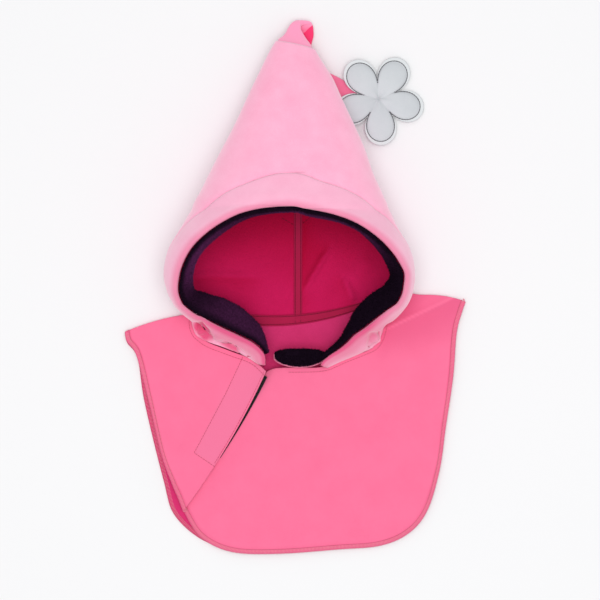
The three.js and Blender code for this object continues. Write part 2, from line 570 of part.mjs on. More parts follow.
// Face trim: the plush strip sewn inside the rim, which hangs in from it.
const TRIM_CUT = 3; // stations of the rim left free at each chin
const TRIM_SINK = 1.2; // its sewn edge lies a little below the rim
const TRIM_COLUMNS = 3;
const TRIM_SAG = 1.3;
function trimGeometry() {
  const [inset, way, drop] = ["inset", "way", "drop"].map((key) => columnCurve(TRIM, (row) => row.along, key));
  const clear = PLUSH / 2 + SEAM_GAP;
  const rows = rim.slice(TRIM_CUT, -TRIM_CUT).map(({ point, heading, normal }, k) => {
    const along = (k + TRIM_CUT) / BRIM_STATIONS;
    const angle = radians(way(along));
    const inward = new THREE.Vector3(Math.cos(angle), Math.sin(angle), 0);
    const start = point.clone().addScaledVector(heading, -clear).addScaledVector(normal, -TRIM_SINK);
    return Array.from({ length: TRIM_COLUMNS + 1 }, (_, c) => {
      const t = c / TRIM_COLUMNS;
      const free = start.clone().addScaledVector(inward, inset(along) * t);
      free.z -= drop(along) * t ** TRIM_SAG;
      return free;
    });
  });
  const round = (_, c) => (PLUSH / 2) * (c === TRIM_COLUMNS ? EDGE_THIN : 1);
  return gridWall(rows.reverse(), round, round);
}

// A point of the cape's neck edge: 0 middle of the back, 1 side corner, 2 chin. It lies a seam's gap beyond
// the edge of the crown.
function neckPoint(side, at) {
  const y = NECK_BACK_Y + (CHIN_Y - NECK_BACK_Y) * Math.max(0, at - 1);
  const turn = side * Math.min(1, at) * neckTurn(y);
  const { alongY, alongTurn } = slopes(hood, y, turn);
  const front = smooth(at, 1 - CORNER_SPAN / 2, CORNER_AT);
  const away = alongY.normalize().multiplyScalar(front - 1);
  away.addScaledVector(alongTurn.normalize(), -side * front).normalize();
  const point = hood(y, turn).addScaledVector(away, NECK_GAP);
  point.z -= CORNER_DROP * bell(at - CORNER_AT, CORNER_SPAN);
  return point;
}

// The cape's middle surface: line counts along the table's rows and down from 0 at the neck to 1 at the hem.
const capeLines = CAPE.map((row) => {
  const free = row.at === undefined;
  const neck = free ? new THREE.Vector3(row.neckX, row.neckY, row.neckZ) : neckPoint(row.side, row.at);
  const hem = new THREE.Vector3(row.hemX, row.hemY, row.flat);
  return { neck, hem, bow: new THREE.Vector3(row.bowX, row.bowY, 0) };
});
const capeCurves = ["neck", "hem", "bow"].map((key) => {
  const stops = capeLines.map((line) => line[key]);
  return new THREE.CatmullRomCurve3(stops, false, "catmullrom", 0.5);
});
function cape(line, down) {
  const [neck, hem, bow] = capeCurves.map((curve) => curve.getPoint(line / (CAPE.length - 1)));
  const away = hem.clone().sub(neck);
  const point = neck.clone().addScaledVector(away, down).addScaledVector(bow, 4 * down * (1 - down));
  const fall = bell(down * away.length(), NECK_FALL);
  point.z = hem.z + (neck.z - hem.z) * fall;
  return point;
}

function capeGeometry() {
  const rows = [];
  for (let k = 0; k <= UNDERLAP * STEPS_PER_LINE; k += 1)
    rows.push(CAPE_ROWS.map((down) => cape(k / STEPS_PER_LINE, down)));
  return gridWall(rows, CLOTH / 2, CLOTH / 2);
}

// Hook and loop strips along the slit, between the two fronts. The lower one shows as a sliver.
function tapeGeometry(firstLine, lastLine, sliver, lift) {
  const rows = [0, 0.25, 0.5, 0.75, 1].map((across) =>
    Array.from({ length: TAPE_STEPS + 1 }, (_, k) => {
      const share = k / TAPE_STEPS;
      const first = firstLine - sliver * (1 - share);
      const point = cape(first + (lastLine - first) * across, TAPE_START + TAPE_RUN * share);
      point.z += lift;
      return point;
    }),
  );
  return gridWall(lastLine > firstLine ? rows : rows.reverse(), TAPE / 2, TAPE / 2);
}

// Chin guard and its plush pad, standing on the neck edge between the two ends of the rim.
function chinGeometry(scale, lift, half, shift) {
  const rows = CHIN_ROWS.map((across) =>
    Array.from({ length: CHIN_STEPS + 1 }, (_, k) => {
      const u = (2 * k) / CHIN_STEPS - 1;
      const oval = CHIN.endShare + (1 - CHIN.endShare) * Math.sqrt(1 - CHIN.endBlunt * u * u);
      const depth = CHIN.halfDepth * scale * oval * across;
      const y = CHIN.y + shift + CHIN.curve * u * u + depth;
      const z = CHIN.z + lift + CHIN.tip * depth + CHIN.crownRise * (1 - u * u);
      return new THREE.Vector3(CHIN.x + CHIN.halfWidth * scale * u, y, z);
    }),
  );
  const atEnd = (k, last) => k === 0 || k === last;
  const edge = (r, c) => atEnd(r, CHIN_ROWS.length - 1) || atEnd(c, CHIN_STEPS);
  const round = (r, c) => half * (edge(r, c) ? EDGE_THIN : 1);
  return gridWall(rows, round, round);
}

// Tail: a flattened tube, hollow where it leaves the hood.
const TAIL_AROUND = 12;
const TAIL_STEPS = 2; // rings to each row of the table
const TAIL_HOLLOW = [0.9, 0.5, 0]; // rows at which the inside's rings lie
function tailGeometry() {
  const around = TAIL_AROUND;
  const numbered = TAIL.map((row, k) => ({ ...row, k }));
  const at = {};
  for (const column of ["x", "y", "z", "width", "thick", "yaw", "pitch"])
    at[column] = columnCurve(numbered, (row) => row.k, column);
  const ring = (k, shrink) => {
    const yaw = radians(at.yaw(k));
    const pitch = radians(at.pitch(k));
    const wide = new THREE.Vector3(Math.cos(yaw), Math.sin(yaw), 0);
    const deep = new THREE.Vector3(0, 0, 1).applyAxisAngle(wide, -pitch);
    return Array.from({ length: around }, (_, i) => {
      const a = (2 * Math.PI * i) / around;
      return new THREE.Vector3(at.x(k), at.y(k), at.z(k))
        .addScaledVector(wide, (at.width(k) / 2 - shrink) * Math.cos(a))
        .addScaledVector(deep, (at.thick(k) / 2 - shrink) * Math.sin(a));
    });
  };
  const rings = TAIL_HOLLOW.map((k) => ring(k, CLOTH));
  for (let k = 0; k <= (TAIL.length - 1) * TAIL_STEPS; k += 1) rings.push(ring(k / TAIL_STEPS, 0));
  const points = rings.flat();
  const index = [];
  for (let r = 0; r + 1 < rings.length; r += 1)
    for (let i = 0; i < around; i += 1) {
      const j = (i + 1) % around;
      const [near, far] = [r * around, (r + 1) * around];
      index.push(near + i, far + j, near + j, near + i, far + i, far + j);
    }
  const sumOf = (ring) => ring.reduce((sum, p) => sum.add(p), new THREE.Vector3());
  const middleOf = (r) => sumOf(rings[r]).divideScalar(around);
  const [inner, end] = [points.length, points.length + 1];
  points.push(middleOf(0), middleOf(rings.length - 1));
  const last = (rings.length - 1) * around;
  for (let i = 0; i < around; i += 1) {
    const j = (i + 1) % around;
    index.push(inner, i, j, end, last + j, last + i);
  }
  const geometry = new THREE.BufferGeometry().setFromPoints(points);
  geometry.setIndex(index);
  return geometry;
}

// Flower: a padded blossom of equal round petals with a flat stitched flange.
function flowerGeometry() {
  const { petals, tip, notch, turn, slope, pad, flange, flangeFrom, roundness } = FLOWER;
  const around = petals * PETAL_STEPS;
  const thick = (share) => (share < flangeFrom ? pad : flange);
  const reach = (angle) => {
    const petal = Math.abs(Math.cos(((angle - radians(turn)) * petals) / 2));
    return notch + (tip - notch) * petal ** roundness;
  };
  const middle = new THREE.Vector3(FLOWER.x, FLOWER.y, FLOWER.z);
  const points = [middle];
  for (const share of FLOWER_RINGS)
    for (let i = 0; i < around; i += 1) {
      const angle = (2 * Math.PI * i) / around;
      const x = reach(angle) * share * Math.cos(angle);
      const y = reach(angle) * share * Math.sin(angle);
      points.push(new THREE.Vector3(x, y, slope * x).add(middle));
    }
  const faces = [];
  for (let i = 0; i < around; i += 1) {
    const j = (i + 1) % around;
    faces.push([0, 1 + i, 1 + j]);
    for (let r = 0; r + 1 < FLOWER_RINGS.length; r += 1) {
      const [near, far] = [1 + r * around, 1 + (r + 1) * around];
      faces.push([near + i, far + i, far + j, near + j]);
    }
  }
  const amount = (k) => (k === 0 ? pad : thick(FLOWER_RINGS[Math.floor((k - 1) / around)]));
  return wall(points, faces, amount, amount);
}

// A strip lies this far from the cape's middle surface.
const tapeLift = CLOTH / 2 + TAPE / 2 + TAPE_AIR;
const loop = tapeGeometry(UNDER_SLIT, UNDERLAP - 0.1, 0.25, tapeLift);
const hook = tapeGeometry(SLIT_LINE + 0.2, SLIT_LINE + 1.8, 0, -tapeLift);
const padLift = CLOTH / 2 + PLUSH / 2 + CHIN_AIR;

addPiece("crown", crownGeometry(), COLOURS.hood);
addPiece("brim", brimGeometry(), COLOURS.hood);
addPiece("face_trim", trimGeometry(), COLOURS.plush);
addPiece("cape", capeGeometry(), COLOURS.cape);
addPiece("closure_loop", loop, COLOURS.tape);
addPiece("closure_hook", hook, COLOURS.tape);
addPiece("chin_guard", chinGeometry(1, 0, CLOTH / 2, 0), COLOURS.hood);
addPiece("chin_trim", chinGeometry(PAD_SCALE, padLift, PLUSH / 2, 1), COLOURS.plush);
addPiece("tail", tailGeometry(), COLOURS.cape);
addPiece("flower", flowerGeometry(), COLOURS.silver, 0.45, 0.3);

const box = new THREE.Box3().setFromObject(garment);
const middle = box.getCenter(new THREE.Vector3());
garment.position.set(-middle.x, -middle.y, -box.min.z);

const rainHood = new THREE.Group();
rainHood.add(garment);
export default rainHood;
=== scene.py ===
# %% [markdown]
# # A child's pointed rain hood with a shoulder cape
# The hood lies on its back on a white table and the camera looks straight down at it. Its cloth is
# a soft shell with a smooth pink face and a crimson fleece back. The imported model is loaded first: it gives every
# piece its place, and the pieces made here are finer copies of its nodes.

import bpy
import numpy as np
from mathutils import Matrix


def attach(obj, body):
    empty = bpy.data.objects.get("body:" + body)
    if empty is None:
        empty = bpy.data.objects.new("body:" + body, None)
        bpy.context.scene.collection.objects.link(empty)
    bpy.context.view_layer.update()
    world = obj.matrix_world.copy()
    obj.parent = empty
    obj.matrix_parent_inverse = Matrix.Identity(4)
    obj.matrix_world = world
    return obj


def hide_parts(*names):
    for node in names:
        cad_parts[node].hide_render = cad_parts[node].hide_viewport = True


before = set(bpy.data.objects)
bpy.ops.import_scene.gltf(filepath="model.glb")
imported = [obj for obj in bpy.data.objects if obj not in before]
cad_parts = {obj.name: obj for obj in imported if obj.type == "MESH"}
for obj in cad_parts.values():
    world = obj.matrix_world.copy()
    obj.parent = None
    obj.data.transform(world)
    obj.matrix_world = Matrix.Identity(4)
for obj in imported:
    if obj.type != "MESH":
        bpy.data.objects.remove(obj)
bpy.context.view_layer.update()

print("frame nodes:", sorted(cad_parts))

# %% [markdown]
# ## Units and small helpers
# A sewing pattern is drawn in millimetres, so the pattern below is too. The garment has its own origin, just above
# the neck seam in the middle, and one shift in each direction takes it to the frame. Smooth curves run through the
# columns of small tables, without swinging past the numbers between two rows.

# %% Helpers for curves and tables
MM = 0.001
GARMENT_TO_FRAME = np.array([4.11, -11.09, 0.08])
CLOTH = 1.6
SEAM_GAP = 0.8
PLUSH = 3.6


def columns(text):
    """A table under a line of names as one array for each name. A dash leaves a place empty."""
    names, *rows = [line.split() for line in text.strip().splitlines()]
    return {
        name: np.array([np.nan if row[i] == "-" else float(row[i]) for row in rows])
        for i, name in enumerate(names)
    }


def smooth_curve(x, v):
    """A curve through the points that rises and falls only where they do."""
    used = ~np.isnan(v)
    order = np.argsort(x[used])
    x, v = x[used][order], v[used][order]
    step = np.diff(x)
    rise = np.diff(v) / step
    slope = np.concatenate([rise[:1], np.zeros(len(x) - 2), rise[-1:]])
    product, total = rise[:-1] * rise[1:], rise[:-1] + rise[1:]
    slope[1:-1] = np.where(product > 0, 2 * product / np.where(product > 0, total, 1), 0)

    def at(place):
        place = np.clip(place, x[0], x[-1])
        i = np.clip(np.searchsorted(x, place, side="right") - 1, 0, len(x) - 2)
        t = (place - x[i]) / step[i]
        start = v[i] * (1 + 2 * t) * (1 - t) ** 2 + slope[i] * step[i] * t * (1 - t) ** 2
        return start + v[i + 1] * t * t * (3 - 2 * t) + slope[i + 1] * step[i] * t * t * (t - 1)

    return at


def smooth_step(v, low, high):
    t = np.clip((v - low) / (high - low), 0, 1)
    return t * t * (3 - 2 * t)


def bell(distance, span):
    return np.exp(-((distance / span) ** 2))


def unit(v):
    return v / np.maximum(np.linalg.norm(v, axis=-1, keepdims=True), 1e-9)


def dot(a, b):
    return np.sum(a * b, axis=-1)


def table_curve(table, along, name):
    """The smooth curve through one column of a table, over another column."""
    return smooth_curve(table[along], table[name])


# %% [markdown]
# ## The hood's plain form
# Each row of the table is a cut across the hood: where its left and right edges lie, how high the resting back, the
# widest point and the front are, at which angle the neck meets the cape, and where the face opening's rim is. A
# point of the hood is then named by y and by turn, which runs from 0 at the middle of the back to 1 at the front.

# %% Sections of the hood
RIM_TOP_Y = 83.8
RIM_END_Y = -61
HOOD_TIP_Y = 238.7
NECK_BACK_Y = -20
CHIN_Y = -64
SIDE_ROUND = 0.42
TIP_SLANT = 0.22
NECK_TILT = 0.07
NECK_RISE = 20
TIP_RUN = 35

SECTIONS = columns("""
      y    left  right  bottom  side   top  neck  rim_left  rim_right
  238.7     -22   13.5      10    20    30   -35         -          -
    223     -31   22.5     9.3    21    38   -35         -          -
    206     -40     31     8.5    24    46   -35         -          -
    185     -50     40     7.5    28    56   -35         -          -
    160     -62   50.5     5.5    32    67   -35         -          -
  137.5   -73.5     60     3.5    35    77   -35         -          -
    117   -83.5   67.5     1.8    38    86   -35         -          -
    100     -92   75.5     1.0    39    92   -35         -          -
     91     -97   79.5     0.9    39    95   -35         -          -
   83.8   -99.7   82.2     0.9    39    96   -35        -9         -9
     82  -100.5     83     0.9    39  94.8   -35       -34          4
     78    -103     85     0.9    39    93   -35       -52         25
     71    -107     88     0.9    38    91   -35       -68         46
     61    -113   93.5     0.9    37    87   -35     -83.6       63.7
   48.5  -120.5    101     0.9    35    81   -35       -97       78.8
   35.5    -125    105     0.9    33    75   -35    -105.4       89.4
     22    -127    106     0.9    30    68   -35    -110.4       95.5
      9    -124  104.5     0.9    27    61   -35    -112.2       94.5
     -2  -118.5    101     0.9    23    53   -35    -109.5       90.4
    -11  -112.5     96     0.9    19    47   -35    -100.4       79.2
  -18.5  -107.5   90.5     0.9    15    42   -35       -87       69.7
    -26  -104.5   82.5       2  12.5    38   -24     -72.2       60.5
  -33.5   -99.5     78       3    12    34   -15     -56.4         50
    -40     -88     74     4.5    12    30   -10       -44         44
  -46.5     -69     66     6.5  12.5    27    -8     -36.5         36
  -52.5     -54     52       8    13    24    -8       -33         27
    -58   -43.5     38     9.5    14    22    -8     -32.5         21
    -64     -37     25      11    15  20.5    -8       -33         18
""")

section = {name: table_curve(SECTIONS, "y", name) for name in ("left", "right", "bottom", "side", "top", "neck")}


def below_top(y):
    """Near its top the rim runs across the sections, so it is smooth in this root."""
    return np.sqrt(np.maximum(0, RIM_TOP_Y - y))


rim_left = smooth_curve(below_top(SECTIONS["y"]), SECTIONS["rim_left"])
rim_right = smooth_curve(below_top(SECTIONS["y"]), SECTIONS["rim_right"])


def middle_and_half(y):
    return (section["left"](y) + section["right"](y)) / 2, (section["right"](y) - section["left"](y)) / 2


def rim_angle(y, side):
    middle, half = middle_and_half(y)
    x = np.where(side < 0, rim_left(below_top(y)), rim_right(below_top(y)))
    angle = np.arccos(np.clip(np.abs(x - middle) / half, 0, 1))
    return np.where(y >= RIM_TOP_Y, np.pi / 2, angle)


def neck_corner(y):
    """How far round the neck's corner is: 0.5 would be the widest point."""
    return 0.5 + section["neck"](y) / 180


def plain_hood(y, turn):
    y, turn = np.broadcast_arrays(np.asarray(y, float), np.asarray(turn, float))
    wrapped = (turn + 1) % 2 - 1
    side = np.where(wrapped < 0, -1, 1)
    angle = (np.abs(wrapped) - 0.5) * np.pi
    across, up = np.abs(np.cos(angle)), np.abs(np.sin(angle))
    under = angle < 0
    middle, half = middle_and_half(y)
    widest = section["side"](y)
    rise = np.where(
        under, widest - section["bottom"](y), (section["top"](y) - widest) / np.sin(rim_angle(y, side))
    )
    across = np.where(under, across * (1 + SIDE_ROUND * (1 - across**2)), across)
    up = np.where(under, up * (1 + SIDE_ROUND * (1 - up**2)), up)
    x = middle + side * half * across
    z = widest + np.sign(angle) * rise * up
    near_neck = smooth_step(-y, -60, -NECK_BACK_Y) * smooth_step(-angle, 0.1, 1)
    near_tip = smooth_step(y, HOOD_TIP_Y - TIP_RUN, HOOD_TIP_Y)
    share = (x - middle) / half
    lift = near_neck * (NECK_TILT * (x - middle) + NECK_RISE * share**2)
    return np.stack([x, y + lift - near_tip * TIP_SLANT * (x - middle), z], axis=-1)


def slopes(surface, y, turn):
    """The surface's two directions and its outward normal, from steps of half a millimetre and of a small turn."""
    small = 0.004
    along_y = surface(y + 0.5, turn) - surface(y - 0.5, turn)
    along_turn = (surface(y, turn + small) - surface(y, turn - small)) / (2 * small)
    return along_y, along_turn, unit(np.cross(along_y, along_turn))


# %% [markdown]
# ## Folds and creases
# The slack of the neck bunches under the rim, and the back has a few soft creases from being folded away. Cloth
# simulation would make folds of its own; here the folds of one real hood are wanted, so each is a dent or a ridge
# with a place, a length and a depth, added along the surface's normal.

# %% Folds of the neck and creases of the back
FOLDS = columns("""
  side    y  share  span_y  span_share  depth
    -1  -29   0.36      15         0.3     11
    -1  -35   0.34     3.2        0.24     -6
    -1  -47    0.4       7        0.26      4
     1  -31   0.34      13         0.3      7
     1  -38    0.3     3.5        0.24     -4
     1    2    0.5      16        0.14      3
    -1    4    0.5      18        0.14      3
""")

BACK_CREASES = columns("""
  from_x  from_y  to_x  to_y  half_width  height
      26      47     5    11         2.6     4.2
      41      20  51.5     0         2.8     4.6
     -99      23   -46    21           4     3.0
      66      40    45    16           9     3.0
     -60      60   -20    20          14     1.8
""")

NECK_DENTS = columns("""
  from_x  from_y  to_x   to_y  half_width  height
     -97     -20   -85    -38         6.5       8
     -74     -39   -57    -49         3.2     4.5
      67     -28    67    -42           5       3
      86     -24    70    -36           4       2
""")

NECK_RIDGES = columns("""
  from_x  from_y  to_x   to_y  half_width  height
     -79     -27   -78    -41         2.6       3
      60     -35    60    -48         2.6       2
    75.5     -22    74    -40         2.8       2
""")


def by_line(x, y, ax, ay, bx, by):
    """Where a place is along the line from a to b, 0 to 1, and how far it is to the right of it."""
    length = np.hypot(bx - ax, by - ay)
    along = ((x - ax) * (bx - ax) + (y - ay) * (by - ay)) / length**2
    return along, ((x - ax) * (by - ay) - (y - ay) * (bx - ax)) / length


def crease_height(creases, x, y, steep=2):
    """The summed height of straight creases; a steep of 4 gives them a flat floor and firm sides."""
    height = np.zeros_like(x)
    for *line, half_width, tall in zip(*creases.values()):
        along, aside = by_line(x, y, *line)
        ends = smooth_step(along, -0.15, 0.25) * smooth_step(1 - along, -0.15, 0.25)
        height += tall * ends * np.exp(-(np.abs(aside / half_width) ** steep))
    return height


DEEP_DENT = 5


def shaded_by_folds(points):
    """0 to 1 where the neck's dents are deep: there cloth is lit by cloth only, which gives a stronger pink."""
    low = smooth_step(30 - points[..., 2], 0, 8) * smooth_step(points[..., 2], 8, 13)
    return np.clip(low * crease_height(NECK_DENTS, points[..., 0], points[..., 1], 3) / DEEP_DENT, 0, 1)


SHADES = columns("""
  from_x  from_y  to_x  to_y  reach  amount
      27      49     3     8    -16    0.40
      27      49     3     8      9   -0.20
      39      22    53    -7    -14    0.30
      39      22    53    -7      8   -0.30
    -104      22   -40    21    -22    0.35
    -104      22   -40    21     14   -0.10
       2      78     3   -17      6    0.40
""")


def shade_of_creases(points):
    """The inside's deeper red: the top gets least light, and each crease is deeper on the side that turns away."""
    x, y = points[..., 0], points[..., 1]
    deep = 0.08 + 0.8 * smooth_step(y, 0, 92)
    for *line, reach, amount in zip(*SHADES.values()):
        along, aside = by_line(x, y, *line)
        aside = aside * np.sign(reach)
        ends = smooth_step(along, -0.2, 0.2) * smooth_step(1 - along, -0.2, 0.2)
        one_side = smooth_step(-aside, -0.8, 0.8) * np.exp(np.minimum(aside, 0) / abs(reach))
        deep += amount * ends * one_side
    return np.clip(deep, 0, 1)


def slack(x, y):
    """Broad, shallow unevenness that no cloth is without."""
    return np.sin(x / 19 + y / 41 + 1.3) * np.sin(y / 27 - x / 60) + 0.6 * np.sin(x / 33 - y / 15 + 0.4)


SLACK_DEPTH = 0.45


def hood(y, turn):
    point = plain_hood(y, turn)
    y, turn = np.broadcast_arrays(np.asarray(y, float), np.asarray(turn, float))
    wrapped = (turn + 1) % 2 - 1
    side = np.where(wrapped < 0, -1, 1)
    start = section["neck"](y) * np.pi / 180
    share = ((np.abs(wrapped) - 0.5) * np.pi - start) / (rim_angle(y, side) - start)
    depth = np.zeros_like(y)
    for fold_side, at_y, at_share, span_y, span_share, deep in zip(*FOLDS.values()):
        here = bell(y - at_y, span_y) * bell(share - at_share, span_share)
        depth += np.where(fold_side * wrapped > 0, deep * here, 0)
    resting = smooth_step(0.5 - np.abs(wrapped), 0, 0.12)
    x, at_y = point[..., 0], point[..., 1]
    depth += resting * crease_height(BACK_CREASES, x, at_y)
    bunched = smooth_step(np.abs(wrapped), 0.38, 0.46) * smooth_step(-y, 12, 20)
    bunched = bunched * smooth_step(np.abs(wrapped) - neck_corner(y), 0, 0.07)
    depth += bunched * (crease_height(NECK_DENTS, x, at_y, 3) - crease_height(NECK_RIDGES, x, at_y))
    free = smooth_step(y, HOOD_TIP_Y, HOOD_TIP_Y - 40) * (1 - resting) * smooth_step(y, -40, 0)
    depth += SLACK_DEPTH * free * slack(x, at_y)
    return point - slopes(plain_hood, y, turn)[2] * depth[..., None]


# %% [markdown]
# ## The rim and the brim's seam
# The brim is a wide hem, folded and padded, of nearly even width. So its lines start at the rim, square to it, and
# walk over the hood's surface for the width of the brim. Where they end, the crown begins.

# %% Walk from the rim to the seam
RIM_STATIONS = 240
RIM_SAMPLES = 160
BRIM_STEPS = 32
WALK_END_Y = CHIN_Y - 6
BRIM_SPAN = columns("""
  along  width
      0     19
   0.07     27
   0.15     32
   0.24     36
   0.31     33
   0.37     26
   0.43     26
    0.5     31
   0.57     27
   0.64     27
    0.7     33
   0.77     36
   0.85     33
   0.93     27
      1     19
""")


def rim_line(count):
    """Evenly spaced stations from the left chin over the forehead to the right chin."""
    root = np.concatenate([np.linspace(-1, 0, RIM_SAMPLES + 1), np.linspace(0, 1, RIM_SAMPLES + 1)[1:]])
    side = np.where(root < 0, -1, 1)
    y = RIM_TOP_Y - (RIM_TOP_Y - RIM_END_Y) * root**2
    size = 0.5 + rim_angle(y, side) / np.pi
    point = hood(y, side * size)
    reach = np.concatenate([[0], np.cumsum(np.linalg.norm(np.diff(point, axis=0), axis=1))])
    at = np.linspace(0, reach[-1], count + 1)
    even = {"y": np.interp(at, reach, y), "size": np.interp(at, reach, size)}
    even["side"] = np.where(at < np.interp(0, root, reach), -1, 1)
    even["point"] = np.stack([np.interp(at, reach, point[:, i]) for i in range(3)], axis=1)
    return even


rim = rim_line(RIM_STATIONS)
along_rim = np.linspace(0, 1, RIM_STATIONS + 1)
rim["tangent"] = unit(np.gradient(rim["point"], axis=0))
rim["normal"] = slopes(hood, rim["y"], rim["side"] * rim["size"])[2]
rim["heading"] = unit(np.cross(rim["normal"], rim["tangent"]))


def square_walks():
    """y, size and point of each walk, one row for each step."""
    y, size, side = rim["y"].copy(), rim["size"].copy(), rim["side"]
    way = rim["heading"].copy()
    step = (table_curve(BRIM_SPAN, "along", "width")(along_rim) + SEAM_GAP) / BRIM_STEPS
    stopped = np.zeros(len(y), bool)
    path = [(y, size, rim["point"])]
    for _ in range(BRIM_STEPS):
        along_y, along_turn, normal = slopes(hood, y, side * size)
        way = unit(way - dot(way, normal)[:, None] * normal)
        a, b, c = dot(along_y, along_y), dot(along_y, along_turn), dot(along_turn, along_turn)
        p, q = dot(way, along_y), dot(way, along_turn)
        det = a * c - b * b
        next_y = y + step * (p * c - q * b) / det
        next_size = np.minimum(1, size + side * step * (q * a - p * b) / det)
        floor = np.where(next_y < NECK_BACK_Y, neck_corner(next_y), 0)
        hit = (next_size < floor) | (next_y < WALK_END_Y)
        next_size = np.where(hit, floor, next_size)
        y, size = np.where(stopped, y, next_y), np.where(stopped, size, next_size)
        stopped |= hit
        path.append((y, size, hood(y, side * size)))
    return [np.array(part) for part in zip(*path)]


walk_y, walk_size, walk_point = square_walks()
print("brim seam's highest point, mm:", walk_y[-1].max().round(1))


def seam_size(side, y):
    """How far round the crown's edge is on one side of the section at y."""
    half = rim["side"] == side
    order = np.argsort(walk_y[-1][half])
    ends_y, ends_size = walk_y[-1][half][order], walk_size[-1][half][order]
    return np.where(y >= ends_y[-1], 1, np.interp(y, ends_y, ends_size))


# %% [markdown]
# ## A wall of cloth
# Cloth has a front, a back and a cut edge. Solidify would give all of it one thickness, but a padded hem swells
# and a seam is pinched. So the wall is built here: every point of the middle surface is pushed out and in by
# amounts of its own, and the free edges are closed. The back can carry another finish than the front.

# %% Build walls and ribbons
def wall_points(points, faces, over, under):
    """The outer and the inner points of a wall round a middle surface."""
    normals = np.zeros_like(points)
    a, b, c, d = (points[faces[:, i]] for i in range(4))
    for i in range(4):
        np.add.at(normals, faces[:, i], np.cross(c - a, d - b))
    normals = unit(normals)
    return points + normals * np.reshape(over, (-1, 1)), points - normals * np.reshape(under, (-1, 1))


def new_piece(name, points, faces, finishes, which=None, tint=None):
    mesh = bpy.data.meshes.new(name)
    mesh.from_pydata(((points + GARMENT_TO_FRAME) * MM).tolist(), [], faces)
    for finish in finishes:
        mesh.materials.append(finish)
    if which is not None:
        mesh.polygons.foreach_set("material_index", np.asarray(which, np.int32))
    layer = mesh.attributes.new("tint", "FLOAT", "POINT")
    layer.data.foreach_set("value", np.zeros(len(points)) if tint is None else np.asarray(tint, float))
    mesh.shade_smooth()
    mesh.update()
    piece = bpy.data.objects.new(name, mesh)
    bpy.context.scene.collection.objects.link(piece)
    return piece


def wall(name, points, faces, over, under, finishes, tint=None):
    """finishes are those of the outside, the inside and the cut edge; tint has one row, or one for each side."""
    points = points.reshape(-1, 3)
    count = len(points)
    outer, inner = wall_points(points, faces, np.broadcast_to(over, count), np.broadcast_to(under, count))
    start, end = faces.ravel(), np.roll(faces, -1, axis=1).ravel()
    real = start != end
    start, end = start[real], end[real]
    free = ~np.isin(start * count + end, end * count + start)
    start, end = start[free], end[free]
    rim_faces = np.stack([end, start, start + count, end + count], axis=1)
    all_faces = np.concatenate([faces, faces[:, ::-1] + count, rim_faces])
    which = np.repeat([0, 1, 2], [len(faces), len(faces), len(rim_faces)])
    which = np.minimum(which, len(finishes) - 1)
    both = None if tint is None else np.broadcast_to(np.reshape(tint, (-1, count)), (2, count)).ravel()
    return new_piece(name, np.concatenate([outer, inner]), all_faces.tolist(), finishes, which, both)


def grid_faces(rows, width):
    """Quads over a grid of points; they look the way that row x column points."""
    k = (np.arange(rows - 1)[:, None] * width + np.arange(width - 1)).ravel()
    return np.stack([k, k + width, k + width + 1, k + 1], axis=1)


def triangle_count(piece):
    return sum(len(p.vertices) - 2 for p in piece.data.polygons)


def finish_piece(piece, node):
    """Hangs the piece on the root and hides the imported part of the node that it stands for, if any."""
    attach(piece, "root")
    if node:
        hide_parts(node)
    print(piece.name, "triangles", triangle_count(piece))
    return piece


# %% [markdown]
# ## Finishes
# The outside is a brushed knit with a fine melange, the inside is crimson fleece, the lining of the face is a dark
# plush and the flower is cut from reflective film on cloth. Each finish mixes two close colours by noise of two
# scales, has a fine bump for its fibres and a soft sheen where it has a nap. An attribute called tint, set on the
# pieces, leads to a third colour. On most pieces this is painted shade or painted light. On the cape it is the
# pressed hem, and on the flower it is the paler border.

# %% Cloth finishes
def add_node(tree, kind, values=(), **settings):
    node = tree.nodes.new(kind)
    for name, value in settings.items():
        setattr(node, name, value)
    for socket, value in dict(values).items():
        node.inputs[socket].default_value = value
    return node


def noise_of(tree, place, scale, detail=3.0):
    noise = add_node(tree, "ShaderNodeTexNoise", {"Scale": scale, "Detail": detail, "Roughness": 0.6})
    tree.links.new(place, noise.inputs["Vector"])
    return noise.outputs["Fac"]


def spread(tree, value, low, high):
    ramp = add_node(tree, "ShaderNodeMapRange", {"From Min": low, "From Max": high})
    tree.links.new(value, ramp.inputs["Value"])
    return ramp.outputs["Result"]


def mixed(tree, share, first, second):
    mix = add_node(tree, "ShaderNodeMix", data_type="RGBA")
    tree.links.new(share, mix.inputs["Factor"])
    for socket, colour in ((mix.inputs[6], first), (mix.inputs[7], second)):
        if isinstance(colour, tuple):
            socket.default_value = (*colour, 1)
        else:
            tree.links.new(colour, socket)
    return mix.outputs[2]


